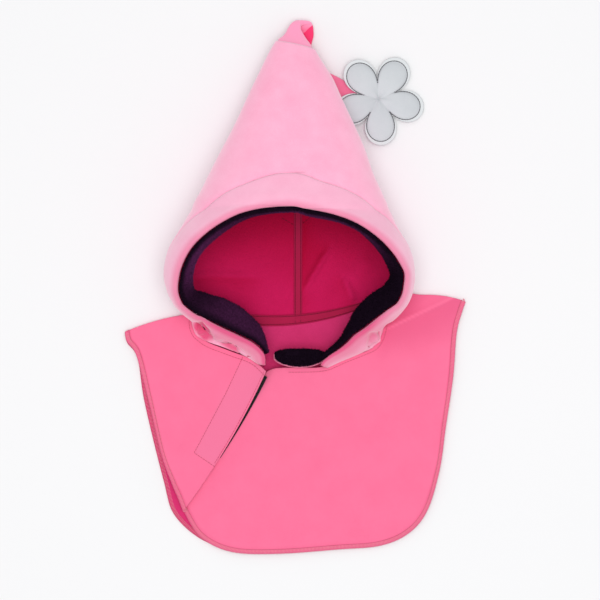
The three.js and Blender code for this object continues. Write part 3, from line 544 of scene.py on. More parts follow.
def cloth_finish(
    name, colour, shade, tinted, grain=1400, bump=0.25, depth=0.0003, nap=0.25, rough=0.9, gloss=0.2, pale=None
):
    """Knitted or brushed cloth in two close colours, with a third where tint is 1 and a fourth where pale is 1."""
    finish = bpy.data.materials.new(name)
    finish.use_nodes = True
    tree = finish.node_tree
    shader = tree.nodes["Principled BSDF"]
    shader.inputs["Roughness"].default_value = rough
    shader.inputs["Specular IOR Level"].default_value = gloss
    shader.inputs["Sheen Weight"].default_value = nap
    shader.inputs["Sheen Roughness"].default_value = 0.5
    place = add_node(tree, "ShaderNodeTexCoord").outputs["Object"]
    fine = spread(tree, noise_of(tree, place, grain), 0.3, 0.7)
    broad = spread(tree, noise_of(tree, place, 45, 4.0), 0.35, 0.7)
    both = add_node(tree, "ShaderNodeMath", {1: 0.5}, operation="MULTIPLY_ADD")
    tree.links.new(fine, both.inputs[0])
    half_broad = add_node(tree, "ShaderNodeMath", {1: 0.5}, operation="MULTIPLY")
    tree.links.new(broad, half_broad.inputs[0])
    tree.links.new(half_broad.outputs[0], both.inputs[2])
    base = mixed(tree, both.outputs[0], colour, shade)
    tint = add_node(tree, "ShaderNodeAttribute", attribute_name="tint").outputs["Fac"]
    base = mixed(tree, tint, base, tinted)
    if pale:
        worn = add_node(tree, "ShaderNodeAttribute", attribute_name="pale").outputs["Fac"]
        base = mixed(tree, worn, base, pale)
    tree.links.new(base, shader.inputs["Base Color"])
    relief = add_node(tree, "ShaderNodeBump", {"Strength": bump, "Distance": depth})
    tree.links.new(fine, relief.inputs["Height"])
    tree.links.new(relief.outputs["Normal"], shader.inputs["Normal"])
    return finish


# Where tint is 1, the third colour is painted shade on the hood, the brim and the fleece, a painted purple sheen on
# the plush and painted light on the tail. On the cape it is the pressed hem and, on the right shoulder, painted
# shade.
hood_cloth = cloth_finish("hood_cloth", (1.0, 0.48, 0.66), (0.95, 0.36, 0.54), (0.78, 0.085, 0.22), nap=0.65)
brim_cloth = cloth_finish("brim_cloth", (0.94, 0.48, 0.64), (0.89, 0.39, 0.555), (0.75, 0.10, 0.24), nap=0.5)
LINING_LOOK = {"grain": 700, "bump": 0.5, "depth": 0.0006, "nap": 0.0, "gloss": 0.1}
cape_cloth = cloth_finish(
    "cape_cloth", (0.95, 0.178, 0.335), (0.89, 0.152, 0.30), (0.77, 0.105, 0.235), pale=(0.86, 0.178, 0.33)
)
tail_cloth = cloth_finish("tail_cloth", (0.93, 0.20, 0.36), (0.88, 0.18, 0.33), (1.0, 0.34, 0.54), nap=0.4)
turned_cloth = cloth_finish("tail_inside", (0.95, 0.05, 0.18), (0.86, 0.04, 0.15), (0.95, 0.05, 0.18), nap=0.1)
cape_inside = cloth_finish(
    "cape_inside", (0.72, 0.038, 0.18), (0.66, 0.031, 0.155), (0.60, 0.03, 0.13), **LINING_LOOK
)
fleece = cloth_finish(
    "crimson_fleece", (0.67, 0.012, 0.115), (0.61, 0.009, 0.099), (0.47, 0.001, 0.036), **LINING_LOOK
)
tape_cloth = cloth_finish(
    "seam_tape", (0.47, 0.015, 0.075), (0.41, 0.012, 0.062), (0.3, 0.01, 0.05), grain=900, nap=0.0, gloss=0.1
)
hem_thread = cloth_finish("dusty_rose_thread", (0.88, 0.26, 0.36), (0.8, 0.21, 0.31), (0.5, 0.1, 0.15), grain=2500)
rose_thread = cloth_finish("deep_rose_thread", (0.66, 0.09, 0.19), (0.58, 0.08, 0.17), (0.5, 0.1, 0.15), grain=2500)
crimson_thread = cloth_finish("crimson_thread", (0.2, 0.006, 0.035), (0.16, 0.005, 0.03), (0.2, 0.01, 0.04), nap=0)
plush_finish = cloth_finish(
    "dark_plush", (0.010, 0.0035, 0.0115), (0.006, 0.002, 0.007), (0.115, 0.023, 0.10), grain=500, nap=0.0,
    bump=0.6, depth=0.0006, gloss=0.05,
)
closure_black = cloth_finish("closure_black", (0.008, 0.008, 0.009), (0.004, 0.004, 0.005), (0.01, 0.01, 0.01))

# %% [markdown]
# Reflective film has tiny glass beads in it, which send light back and make a flat, bright grey. A metal would
# mirror the room, so the film is a rough half metal with fine speckle. The stitched border is a paler grey.

# %% Reflective film
silver_film = cloth_finish(
    "silver_film", (0.58, 0.61, 0.63), (0.51, 0.54, 0.57), (0.65, 0.68, 0.695), grain=2200, bump=0.15,
    depth=0.0002, nap=0.1, rough=0.55,
)
silver_film.node_tree.nodes["Principled BSDF"].inputs["Metallic"].default_value = 0.25
grey_thread = cloth_finish("grey_thread", (0.13, 0.13, 0.145), (0.10, 0.10, 0.11), (0.1, 0.1, 0.1))

# %% [markdown]
# ## Crown
# The crown is one pointed shell. Above the face its rows close round the head, beside the face they end at the
# brim's seam, and below the neck's middle only two narrow strips are left under the rim. Close to every seam the
# cloth turns in, which draws the fine dark line of a real seam.

# %% Make the crown
BACK_COLUMNS = 60
FRONT_COLUMNS = 44
CLOSED_ROWS = 70
OPEN_ROWS = 64
STRIP_ROWS = 22
CROWDING = 1.7
STRIP_END = 0.02
SEAM_TURN_IN = 2.2
SEAM_DEPTH = 0.7
BACK_SEAM_X = -1.9
BACK_SEAM_HALF = 1.6
FAR = 99.0
half_columns = BACK_COLUMNS + FRONT_COLUMNS
seam_top = walk_y[-1].max()


def strip_end(side):
    """The y at which the strip between the neck and the brim's seam has run out."""
    y = np.linspace(NECK_BACK_Y, CHIN_Y, 300)
    narrow = seam_size(side, y) - neck_corner(y) < STRIP_END
    return y[np.argmax(narrow)] if narrow.any() else CHIN_Y


def crown_turns(y, closed):
    """Turns of one row; y holds one number for each column."""
    column = np.arange(-half_columns, half_columns + 1)
    side = np.where(column < 0, -1, 1)
    corner = neck_corner(y)
    end = np.where(side < 0, seam_size(-1, y), seam_size(1, y))
    end = np.ones_like(end) if closed else end
    size = np.abs(column)
    in_back = corner * size / BACK_COLUMNS
    in_front = corner + (end - corner) * (size - BACK_COLUMNS) / FRONT_COLUMNS
    return side * np.where(size <= BACK_COLUMNS, in_back, in_front)


def crown_grid():
    """y and turn of every point of the crown's grid, closed rows first."""
    width = 2 * half_columns + 1
    closed_y = np.linspace(HOOD_TIP_Y, seam_top, CLOSED_ROWS)
    open_y = seam_top - (seam_top - NECK_BACK_Y) * (np.arange(1, OPEN_ROWS + 1) / OPEN_ROWS) ** CROWDING
    rows = [(np.full(width, y), True) for y in closed_y] + [(np.full(width, y), False) for y in open_y]
    ends = np.where(np.arange(width) < half_columns, strip_end(-1), strip_end(1))
    for k in range(1, STRIP_ROWS + 1):
        rows.append((NECK_BACK_Y + (ends - NECK_BACK_Y) * k / STRIP_ROWS, False))
    return np.array([row for row, _ in rows]), np.array([crown_turns(row, closed) for row, closed in rows])


def seam_distance(points, turn):
    """How far each point is from the brim's seam; the back is far from it."""
    near = np.full(len(points), FAR)
    for part in np.array_split(np.where(np.abs(turn) > 0.4)[0], 12):
        near[part] = np.min(np.linalg.norm(points[part, None] - walk_point[-1][None], axis=2), axis=1)
    return near


def make_crown():
    y, turn = crown_grid()
    points = hood(y, turn)
    number = np.arange(y.size).reshape(y.shape)
    number[:CLOSED_ROWS, 0] = number[:CLOSED_ROWS, -1]
    quads = np.stack([number[:-1, :-1], number[:-1, 1:], number[1:, 1:], number[1:, :-1]], axis=-1)
    keep = np.ones(quads.shape[:2], bool)
    neck_row = CLOSED_ROWS + OPEN_ROWS - 1
    keep[neck_row:, half_columns - BACK_COLUMNS : half_columns + BACK_COLUMNS] = False
    faces = quads[keep]
    used = np.unique(faces)
    renumber = np.full(y.size, -1)
    renumber[used] = np.arange(len(used))
    flat_y, flat_turn = y.ravel()[used], turn.ravel()[used]
    points = points.reshape(-1, 3)[used]
    near = seam_distance(points, flat_turn)
    along_back = np.where(np.abs(flat_turn) < 0.2, points[:, 0] - BACK_SEAM_X, FAR)
    turned_in = bell(near, SEAM_TURN_IN) + 0.5 * bell(along_back, BACK_SEAM_HALF)
    normal = slopes(hood, flat_y, flat_turn)[2]
    points = points - normal * (SEAM_DEPTH * turned_in)[:, None]
    over = CLOTH / 2 * (1 - 0.4 * turned_in)
    seams = 0.16 * bell(near, 1.4) + 0.2 * bell(along_back, 1.0)
    # outside is the seams' dark line plus painted shade in the neck's dents; the inside's tint is painted shade on
    # its top and beside its creases.
    outside = np.clip(seams + shaded_by_folds(points), 0, 1)
    tint = [outside, shade_of_creases(points)]
    return wall("crown_cloth", points, renumber[faces], over, CLOTH / 2, [hood_cloth, fleece, hood_cloth], tint)


crown = finish_piece(make_crown(), "crown")

# %% [markdown]
# ## Brim
# The hem round the face is folded over a soft filler, so it is thin at the seam, full towards the rim, and rolls
# over the rim to the inside. A stronger pink is painted on the roll, for the light bounced from the crimson lining
# and the shade where it turns down, and painted shade darkens the brim's lower ends and the neck's dents.
# Its thickness follows a short table, from the rim's edge (inset 0) to the seam (inset 1).

# %% Make the brim
BRIM_COLUMNS = 30
SEAM_MARGIN = 0.35
CHIN_FULLNESS = 0.4
FULLNESS_RUN = 0.16
BRIM_PROFILE = columns("""
  inset  over  under
      1   0.9    0.5
   0.95   0.9    1.1
   0.87     1    1.6
   0.65   1.6    2.2
    0.4   2.6    2.4
    0.2   3.4      2
   0.08   3.1    1.4
   0.02   2.0    0.9
      0   0.6    0.3
""")


def walk_places(shares):
    """Points at even shares of every walk's own length, stopped short of the seam."""
    step = np.linalg.norm(np.diff(walk_point, axis=0), axis=2)
    reach = np.concatenate([np.zeros((1, step.shape[1])), np.cumsum(step, axis=0)])
    places = np.empty((step.shape[1], len(shares), 3))
    for j in range(step.shape[1]):
        at = shares * (reach[-1, j] - SEAM_MARGIN)
        for i in range(3):
            places[j, :, i] = np.interp(at, reach[:, j], walk_point[:, j, i])
    return places


def make_brim():
    shares = np.linspace(1, 0, BRIM_COLUMNS + 1) ** 1.35
    points = walk_places(shares)
    rows, width = points.shape[:2]
    from_chin = np.minimum(along_rim, 1 - along_rim)
    fullness = CHIN_FULLNESS + (1 - CHIN_FULLNESS) * smooth_step(from_chin, 0, FULLNESS_RUN)
    root = np.sqrt(BRIM_PROFILE["inset"])
    over = smooth_curve(root, BRIM_PROFILE["over"])(np.sqrt(shares)) * fullness[:, None]
    under = smooth_curve(root, BRIM_PROFILE["under"])(np.sqrt(shares)) * fullness[:, None]
    normal = unit(rim["normal"])[:, None]
    points = points - normal * (SEAM_DEPTH * bell(1 - shares, 0.05))[None, :, None]
    # roll is painted light and shade: the roll's stronger pink, then painted shade on the lower ends and in the
    # dents.
    roll = 0.55 * smooth_step(0.26 - shares, 0, 0.26)[None]
    roll = roll + 0.6 * smooth_step(-points[..., 1], 0, 35) * smooth_step(0.9 - shares, 0, 0.6)[None]
    roll = np.clip(roll + shaded_by_folds(points), 0, 1)
    lining = shade_of_creases(points)
    return wall(
        "brim_hem", points, grid_faces(rows, width)[:, ::-1], over.ravel(), under.ravel(),
        [brim_cloth, fleece, brim_cloth], [roll, lining],
    )


brim = finish_piece(make_brim(), "brim")

# %% [markdown]
# ## Plush
# Two pieces are dark plush: the strip inside the rim and the pad at the chin. A plush is a base cloth with
# upright pile. Hair particles would not leave the scene as a mesh, so tufts are set on the base with Geometry
# Nodes: points are spread over its faces and on each stands a tiny three-sided spike, leaning a little at random.

# %% A tree that sets tufts on a surface
def new_tree(name, inputs):
    tree = bpy.data.node_groups.new(name, "GeometryNodeTree")
    tree.interface.new_socket("Geometry", in_out="INPUT", socket_type="NodeSocketGeometry")
    for label, kind, value in inputs:
        socket = tree.interface.new_socket(label, in_out="INPUT", socket_type=kind)
        if value is not None:
            socket.default_value = value
    tree.interface.new_socket("Geometry", in_out="OUTPUT", socket_type="NodeSocketGeometry")
    return tree, add_node(tree, "NodeGroupInput"), add_node(tree, "NodeGroupOutput")


def join(tree, *pairs):
    for source, target in pairs:
        tree.links.new(source, target)


def pile_tree():
    tree, given, made = new_tree("pile", [
        ("Density", "NodeSocketFloat", 2.0e6),
        ("Length", "NodeSocketFloat", 0.0024),
        ("Width", "NodeSocketFloat", 0.0004),
        ("Lean", "NodeSocketFloat", 0.6),
        ("Finish", "NodeSocketMaterial", None),
    ])
    points = add_node(tree, "GeometryNodeDistributePointsOnFaces", {"Seed": 7})
    tuft = add_node(tree, "GeometryNodeMeshCone", {"Vertices": 3, "Radius Top": 0.0})
    align = add_node(tree, "FunctionNodeAlignRotationToVector", axis="Z")
    lean = add_node(tree, "FunctionNodeRandomValue", {"Seed": 3}, data_type="FLOAT_VECTOR")
    low = add_node(tree, "ShaderNodeCombineXYZ")
    high = add_node(tree, "ShaderNodeCombineXYZ")
    minus = add_node(tree, "ShaderNodeMath", {1: -1.0}, operation="MULTIPLY")
    turned = add_node(tree, "FunctionNodeRotateRotation", rotation_space="LOCAL")
    size = add_node(tree, "FunctionNodeRandomValue", {"Seed": 5}, data_type="FLOAT")
    size.inputs[2].default_value = 0.6
    size.inputs[3].default_value = 1.25
    stand = add_node(tree, "GeometryNodeInstanceOnPoints")
    real = add_node(tree, "GeometryNodeRealizeInstances")
    both = add_node(tree, "GeometryNodeJoinGeometry")
    finish = add_node(tree, "GeometryNodeSetMaterial")
    join(
        tree,
        (given.outputs["Geometry"], points.inputs["Mesh"]),
        (given.outputs["Density"], points.inputs["Density"]),
        (given.outputs["Length"], tuft.inputs["Depth"]),
        (given.outputs["Width"], tuft.inputs["Radius Bottom"]),
        (points.outputs["Normal"], align.inputs["Vector"]),
        (given.outputs["Lean"], high.inputs[0]),
        (given.outputs["Lean"], high.inputs[1]),
        (given.outputs["Lean"], minus.inputs[0]),
        (minus.outputs[0], low.inputs[0]),
        (minus.outputs[0], low.inputs[1]),
        (low.outputs[0], lean.inputs[0]),
        (high.outputs[0], lean.inputs[1]),
        (align.outputs["Rotation"], turned.inputs["Rotation"]),
        (lean.outputs[0], turned.inputs["Rotate By"]),
        (points.outputs["Points"], stand.inputs["Points"]),
        (tuft.outputs["Mesh"], stand.inputs["Instance"]),
        (turned.outputs["Rotation"], stand.inputs["Rotation"]),
        (size.outputs[1], stand.inputs["Scale"]),
        (stand.outputs["Instances"], real.inputs["Geometry"]),
        (given.outputs["Geometry"], both.inputs["Geometry"]),
        (real.outputs["Geometry"], both.inputs["Geometry"]),
        (both.outputs["Geometry"], finish.inputs["Geometry"]),
        (given.outputs["Finish"], finish.inputs["Material"]),
        (finish.outputs["Geometry"], made.inputs["Geometry"]),
    )
    return tree


def grown(piece, tree, **values):
    """The piece after its tree has run, as a plain mesh; values are the tree's named inputs."""
    modifier = piece.modifiers.new("grow", "NODES")
    modifier.node_group = tree
    for item in tree.interface.items_tree:
        if item.in_out == "INPUT" and item.name in values:
            modifier[item.identifier] = values[item.name]
    seen = piece.evaluated_get(bpy.context.evaluated_depsgraph_get())
    mesh = bpy.data.meshes.new_from_object(seen)
    piece.modifiers.remove(modifier)
    piece.data = mesh
    return piece


pile = pile_tree()

# %% [markdown]
# The strip hangs in from the rim. Over the forehead it hangs almost straight down and shows only as a narrow band,
# and beside the chin it lies flat and shows nearly all of its width. Three curves give how far its free edge is in
# from the rim, which way, in degrees from +x, and how far below it. glow is a painted purple sheen of the pile,
# strongest where it leans to the light.

# %% Make the face trim
TRIM_COLUMNS = 14
TRIM_STATIONS = slice(5, -3)
TRIM_SINK = 1.0
TRIM_SAG = 1.3
TRIM = columns("""
  along  inset    way  drop  glow
      0      0     60     3   0.3
   0.02    1.5     63     4  0.35
  0.033    6.5     65   5.2  0.45
  0.046   11.7     65   5.8  0.45
  0.058   15.4     62   6.2  0.45
  0.071   17.7     61   6.5  0.45
   0.09     21     64     7  0.45
  0.108   22.7     64   7.8  0.45
  0.133     23     63   8.6   0.4
  0.158   21.1     57   9.4  0.25
  0.183   19.3     48  10.3  0.15
  0.196   17.2     42  10.8  0.15
   0.21   13.8     31  11.5   0.2
  0.225     12     19  12.2   0.3
   0.24   10.4      6    13   0.5
  0.258    8.8     -8  14.6   0.7
  0.271      8    -18  15.4   0.8
  0.283    7.2    -28  16.2   0.9
  0.308    6.1    -48  17.9     1
  0.335    5.4    -57    19     1
   0.37    4.5    -66    21   0.9
   0.41    2.5    -74    22   0.7
   0.45    0.6    -82    23   0.6
    0.5      0    -92    24   0.7
   0.56    1.2   -100    23   0.7
    0.6    0.4   -106    22   0.7
   0.63    0.4   -110    21   0.6
   0.66    2.5   -115    20   0.5
   0.69      5   -121    18   0.3
   0.72    7.2   -142    16   0.1
  0.735    8.2   -164    15  0.05
  0.758   10.8   -176    13     0
  0.783   14.8   -195  11.1     0
  0.796   17.3   -202  10.6     0
   0.81   20.2   -206  10.3     0
  0.825   21.4   -208  10.1     0
  0.846     20   -208   9.5     0
  0.871   17.6   -208   8.6     0
  0.885   15.4   -209     8     0
  0.896   12.4   -211   7.6     0
   0.91    9.2   -214   7.2     0
  0.925    6.2   -222   6.7     0
  0.946      4   -229     6     0
   0.97      2   -232     5     0
      1      0   -232     3     0
""")


def make_face_trim():
    along = along_rim[TRIM_STATIONS]
    inset, drop, way, glow = (table_curve(TRIM, "along", name)(along) for name in ("inset", "drop", "way", "glow"))
    way = np.radians(way)
    inward = np.stack([np.cos(way), np.sin(way), np.zeros_like(way)], axis=1)
    point, heading, normal = (rim[name][TRIM_STATIONS] for name in ("point", "heading", "normal"))
    start = point - heading * (PLUSH / 2 + 0.1) - normal * TRIM_SINK
    t = np.linspace(0, 1, TRIM_COLUMNS + 1)
    points = start[:, None] + inward[:, None] * (inset[:, None] * t)[..., None]
    points[..., 2] -= drop[:, None] * t**TRIM_SAG
    points = points[::-1]
    rows, width = points.shape[:2]
    round_edge = PLUSH / 2 * np.sqrt(np.clip(1 - (2 * t - 1) ** 6, 0.12, 1))
    thick = np.tile(round_edge, rows)
    # glow paints the pile's purple sheen onto the strip, away from its rim.
    tint = glow[::-1, None] * smooth_step(t, 0.02, 0.35)
    return wall("face_trim_plush", points, grid_faces(rows, width), thick, thick, [plush_finish], tint)


TUFTS = {"Density": 1.6e6, "Length": 0.0014, "Width": 0.0004, "Lean": 0.7, "Finish": plush_finish}
face_trim = grown(make_face_trim(), pile, **TUFTS)
finish_piece(face_trim, "face_trim")

# %% [markdown]
# ## Cape
# The shoulder cape is one cloth. It starts at the slit in front, goes round the left shoulder, under the hood,
# round the right shoulder and back past the slit, where it laps under. Each row of the table is a line from the
# neck to the hem. at gives a place on the hood's neck (0 back, 1 side, 2 chin), flat is the height at which the
# cloth lies.

# %% Lines of the cape
NECK_GAP = 1.6
CORNER_AT = 1.04
CORNER_DROP = 2.3
CORNER_SPAN = 0.2
NECK_FALL = 24
HEM_INSET = 1.2
NECK_SAMPLES = 12
CAPE = columns("""
  side     at   hem_x   hem_y  flat  bow_x  bow_y  neck_x  neck_y  neck_z
     -      -    -111    -201   6.4      5      0     -32     -67    14.5
    -1   1.86  -115.5    -189   6.4      4      0       -       -       -
    -1    1.7    -121    -176   6.2      3      0       -       -       -
    -1   1.52  -131.5    -148   3.6      0      0       -       -       -
    -1   1.34    -144     -97   3.0      0      0       -       -       -
    -1   1.16    -156     -53   3.0      0      0       -       -       -
    -1   1.04    -165   -39.5   3.0      0      2       -       -       -
    -1   0.99    -167     -31   2.1      0      3       -       -       -
    -1   0.93    -165     -41   0.9      0      2       -       -       -
    -1   0.88    -155     -56   0.9      0      0       -       -       -
    -1    0.8    -148     -98   0.9      0      0       -       -       -
    -1   0.62    -130    -171   0.9      0      0       -       -       -
    -1   0.46    -118    -207   0.9      0      0       -       -       -
    -1    0.3     -84    -233   0.9      0      0       -       -       -
    -1   0.12     -38    -239   0.9      0      0       -       -       -
     1   0.05      14    -236   0.9      0      0       -       -       -
     1   0.25      84    -228   0.9      0      0       -       -       -
     1    0.5     128    -172   0.9      0      0       -       -       -
     1   0.75     144     -71   0.9      0      0       -       -       -
     1   0.92     151     -16   0.9      0      6       -       -       -
     1   0.99     158      -2   2.1      0      8       -       -       -
     1   1.05   154.5     -12   3.0      0      6       -       -       -
     1    1.2   149.5     -32   3.0      0      2       -       -       -
     1   1.42     146     -74   3.0      0      0       -       -       -
     1   1.65     139    -121   3.0      0      0       -       -       -
     1   1.83     133    -162   3.0      0      0       -       -       -
     1   1.97     121    -201   3.0      0      0       -       -       -
     -      -     103  -222.5   3.0      0      0      17   -63.5    13.5
     -      -      76    -234   3.0      0      0       8   -63.8    13.5
     -      -      36  -237.5   3.0      0      0      -3   -63.8      13
     -      -     -20  -241.5   3.0      0      0     -14   -63.8    12.5
     -      -     -64    -240   3.0      1      0     -23   -64.5    10.5
     -      -     -93    -227   3.0      3      0     -29   -66.5       8
     -      -    -109    -204   3.0      5      0     -35     -69     6.7
     -      -    -116    -184   3.0      4      0     -48     -62     5.2
""")
LAST_LINE = len(CAPE["side"]) - 1


def neck_point(side, at):
    """A point of the cape's neck edge, a seam's gap beyond the crown's edge."""
    y = NECK_BACK_Y + (CHIN_Y - NECK_BACK_Y) * np.maximum(0, at - 1)
    turn = side * np.minimum(1, at) * neck_corner(y)
    along_y, along_turn, _ = slopes(hood, y, turn)
    front = smooth_step(at, 0.9, 1.06)[..., None]
    away = unit(unit(along_y) * (front - 1) - unit(along_turn) * side[..., None] * front)
    point = hood(y, turn) + away * NECK_GAP
    point[..., 2] -= CORNER_DROP * bell(at - CORNER_AT, CORNER_SPAN)
    return point


on_neck = ~np.isnan(CAPE["at"])
cape_neck = np.stack([CAPE["neck_x"], CAPE["neck_y"], CAPE["neck_z"]], axis=1)
cape_neck[on_neck] = neck_point(CAPE["side"][on_neck], CAPE["at"][on_neck])
cape_hem = np.stack([CAPE["hem_x"], CAPE["hem_y"], CAPE["flat"]], axis=1)
cape_hem -= HEM_INSET * unit((cape_hem - cape_neck) * [1, 1, 0])
cape_bow = np.stack([CAPE["bow_x"], CAPE["bow_y"], 0 * CAPE["flat"]], axis=1)
first_on, last_on = np.flatnonzero(on_neck)[[0, -1]]


def through(points, at):
    """A curve through points whose slope at each is half the way between its neighbours."""
    padded_points = np.concatenate([[2 * points[0] - points[1]], points, [2 * points[-1] - points[-2]]])
    at = np.clip(at, 0, len(points) - 1)
    i = np.minimum(at.astype(int), len(points) - 2)
    t = (at - i)[..., None]
    before, start, end, after = (padded_points[i + k] for k in range(4))
    leave, arrive = (end - before) / 2, (after - start) / 2
    bend = -3 * start + 3 * end - 2 * leave - arrive
    return start + leave * t + bend * t**2 + (2 * start - 2 * end + leave + arrive) * t**3


neck_lines = np.linspace(0, LAST_LINE, LAST_LINE * NECK_SAMPLES + 1)
neck_edge = through(cape_neck, neck_lines)
signed_at = through((CAPE["side"] * CAPE["at"])[first_on : last_on + 1, None], neck_lines - first_on)[:, 0]
sewn = (neck_lines >= first_on) & (neck_lines <= last_on)
neck_edge[sewn] = neck_point(np.where(signed_at[sewn] < 0, -1, 1), np.abs(signed_at[sewn]))

# %% [markdown]
# Between its neck and its hem each line is straight in plan, or bowed a little, and falls from the neck like a
# bell. The right shoulder's fold bulges a little towards the hood, one crease runs out from the hood beside it, and
# the fronts have a soft ripple.

# %% The cape's surface
SHOULDER_CREASE = (78, -29, 138, -1)
CREASE_HEIGHT = 1.3
CREASE_HALF = 2.5
SHOULDER_LINE = 20
SHOULDER_RISE = 6
RIPPLE = 0.9


def beyond_crease(x, y):
    """How far a place lies above the shoulder's crease, in plan."""
    return -by_line(x, y, *SHOULDER_CREASE)[1]


def cape_surface(line, down):
    line, down = np.broadcast_arrays(np.asarray(line, float), np.asarray(down, float))
    hem, bow = through(cape_hem, line), through(cape_bow, line)
    neck = np.stack([np.interp(line, neck_lines, neck_edge[:, i]) for i in range(3)], axis=-1)
    away = hem - neck
    point = neck + away * down[..., None] + bow * (4 * down * (1 - down))[..., None]
    length = np.linalg.norm(away, axis=-1)
    point[..., 2] = hem[..., 2] + (neck[..., 2] - hem[..., 2]) * bell(down * length, NECK_FALL)
    start = smooth_step(down, 0, 0.1)
    point[..., 1] += SHOULDER_RISE * start * bell(line - SHOULDER_LINE, 1.3) * bell(down - 0.2, 0.16)
    upper = smooth_step(hem[..., 2], 1.2, 3) * smooth_step(down, 0, 0.15)
    x, y = point[..., 0], point[..., 1]
    ridge = bell(beyond_crease(x, y), CREASE_HALF) * smooth_step(x, 72, 95) * smooth_step(142 - x, 0, 12)
    ripple = 0.5 + 0.5 * np.sin(x / 31 + y / 47 + 0.8) * np.sin(y / 38 + 1)
    point[..., 2] += upper * (CREASE_HEIGHT * ridge + RIPPLE * ripple)
    return point


# %% [markdown]
# The grid over the cape is finer towards the neck, where it has to follow the hood, and its hem gets a darker
# tint, because the overlock presses the knit together there. Beside the slit a facing is sewn under the cloth for
# the closing tape. The cloth is stretched over it and looks paler, so its outline is needed here and for its
# stitches.

# %% Make the cape
CAPE_ROWS = 330
CAPE_COLUMNS = 80
PRESSED_HEM = 6.0
PLACKET = [(-54.5, -55), (-70, -88), (-88, -122), (-100, -144.5), (-81.5, -157)]
FACING = [PLACKET[0], *PLACKET[-2:], (-31, -66)]


def inside_outline(x, y, corners, soft):
    """1 inside a convex outline, 0 outside, with a soft edge."""
    least = np.full_like(x, np.inf)
    for start, end in zip(corners, corners[1:] + corners[:1]):
        least = np.minimum(least, -by_line(x, y, *start, *end)[1])
    return smooth_step(least, -soft, soft)


def shoulder_painted_shade(x, y):
    """Painted shade on the sloping right shoulder: a deeper pink above its crease and a fainter one that fades out
    below it.
    """
    beyond = beyond_crease(x, y)
    above = smooth_step(beyond, 0, 2.5) * (0.35 + 0.65 * smooth_step(125 - x, 0, 30))
    below = 0.75 * smooth_step(-beyond, 0, 2) * smooth_step(beyond, -52, -5)
    return np.maximum(above, below) * smooth_step(x, 62, 80) * smooth_step(y, -75, -30)


def make_cape():
    lines = np.linspace(0, LAST_LINE, CAPE_ROWS + 1)
    downs = np.linspace(0, 1, CAPE_COLUMNS + 1) ** 1.25
    points = cape_surface(lines[:, None], downs[None])
    length = np.linalg.norm(points[:, -1] - points[:, 0], axis=1)
    from_hem = (1 - downs)[None] * length[:, None]
    from_neck = downs[None] * length[:, None]
    pressed = smooth_step(PRESSED_HEM - from_hem, 0, 1.5)
    x, y = points[..., 0], points[..., 1]
    # tint is the pressed hem's darker band and, on the right shoulder, painted shade.
    tint = np.maximum(0.7 * pressed, shoulder_painted_shade(x, y))
    upper = (lines < LAST_LINE / 4)[:, None]
    facing = np.where(upper, inside_outline(x, y, FACING, 0.8), 0)
    thick = CLOTH / 2 * (1 - 0.25 * pressed) * (1 - 0.3 * bell(from_neck, 1.5))
    piece = wall(
        "cape_cloth", points, grid_faces(len(lines), len(downs)), thick.ravel(), thick.ravel(),
        [cape_cloth, cape_inside, cape_cloth], tint,
    )
    pale = piece.data.attributes.new("pale", "FLOAT", "POINT")
    pale.data.foreach_set("value", np.concatenate([facing.ravel(), np.zeros(facing.size)]))
    return piece


cape = finish_piece(make_cape(), "cape")

# %% [markdown]
# ## Stitches
# A running stitch is a short bow of thread that dips into the cloth at both ends, and an overlock is a loop round
# the cut edge. Both repeat along a path, which Geometry Nodes do well: a rail of points is resampled at the pitch
# of the stitch, and on every point stands one bow of thread, turned to the rail and to the cloth under it.

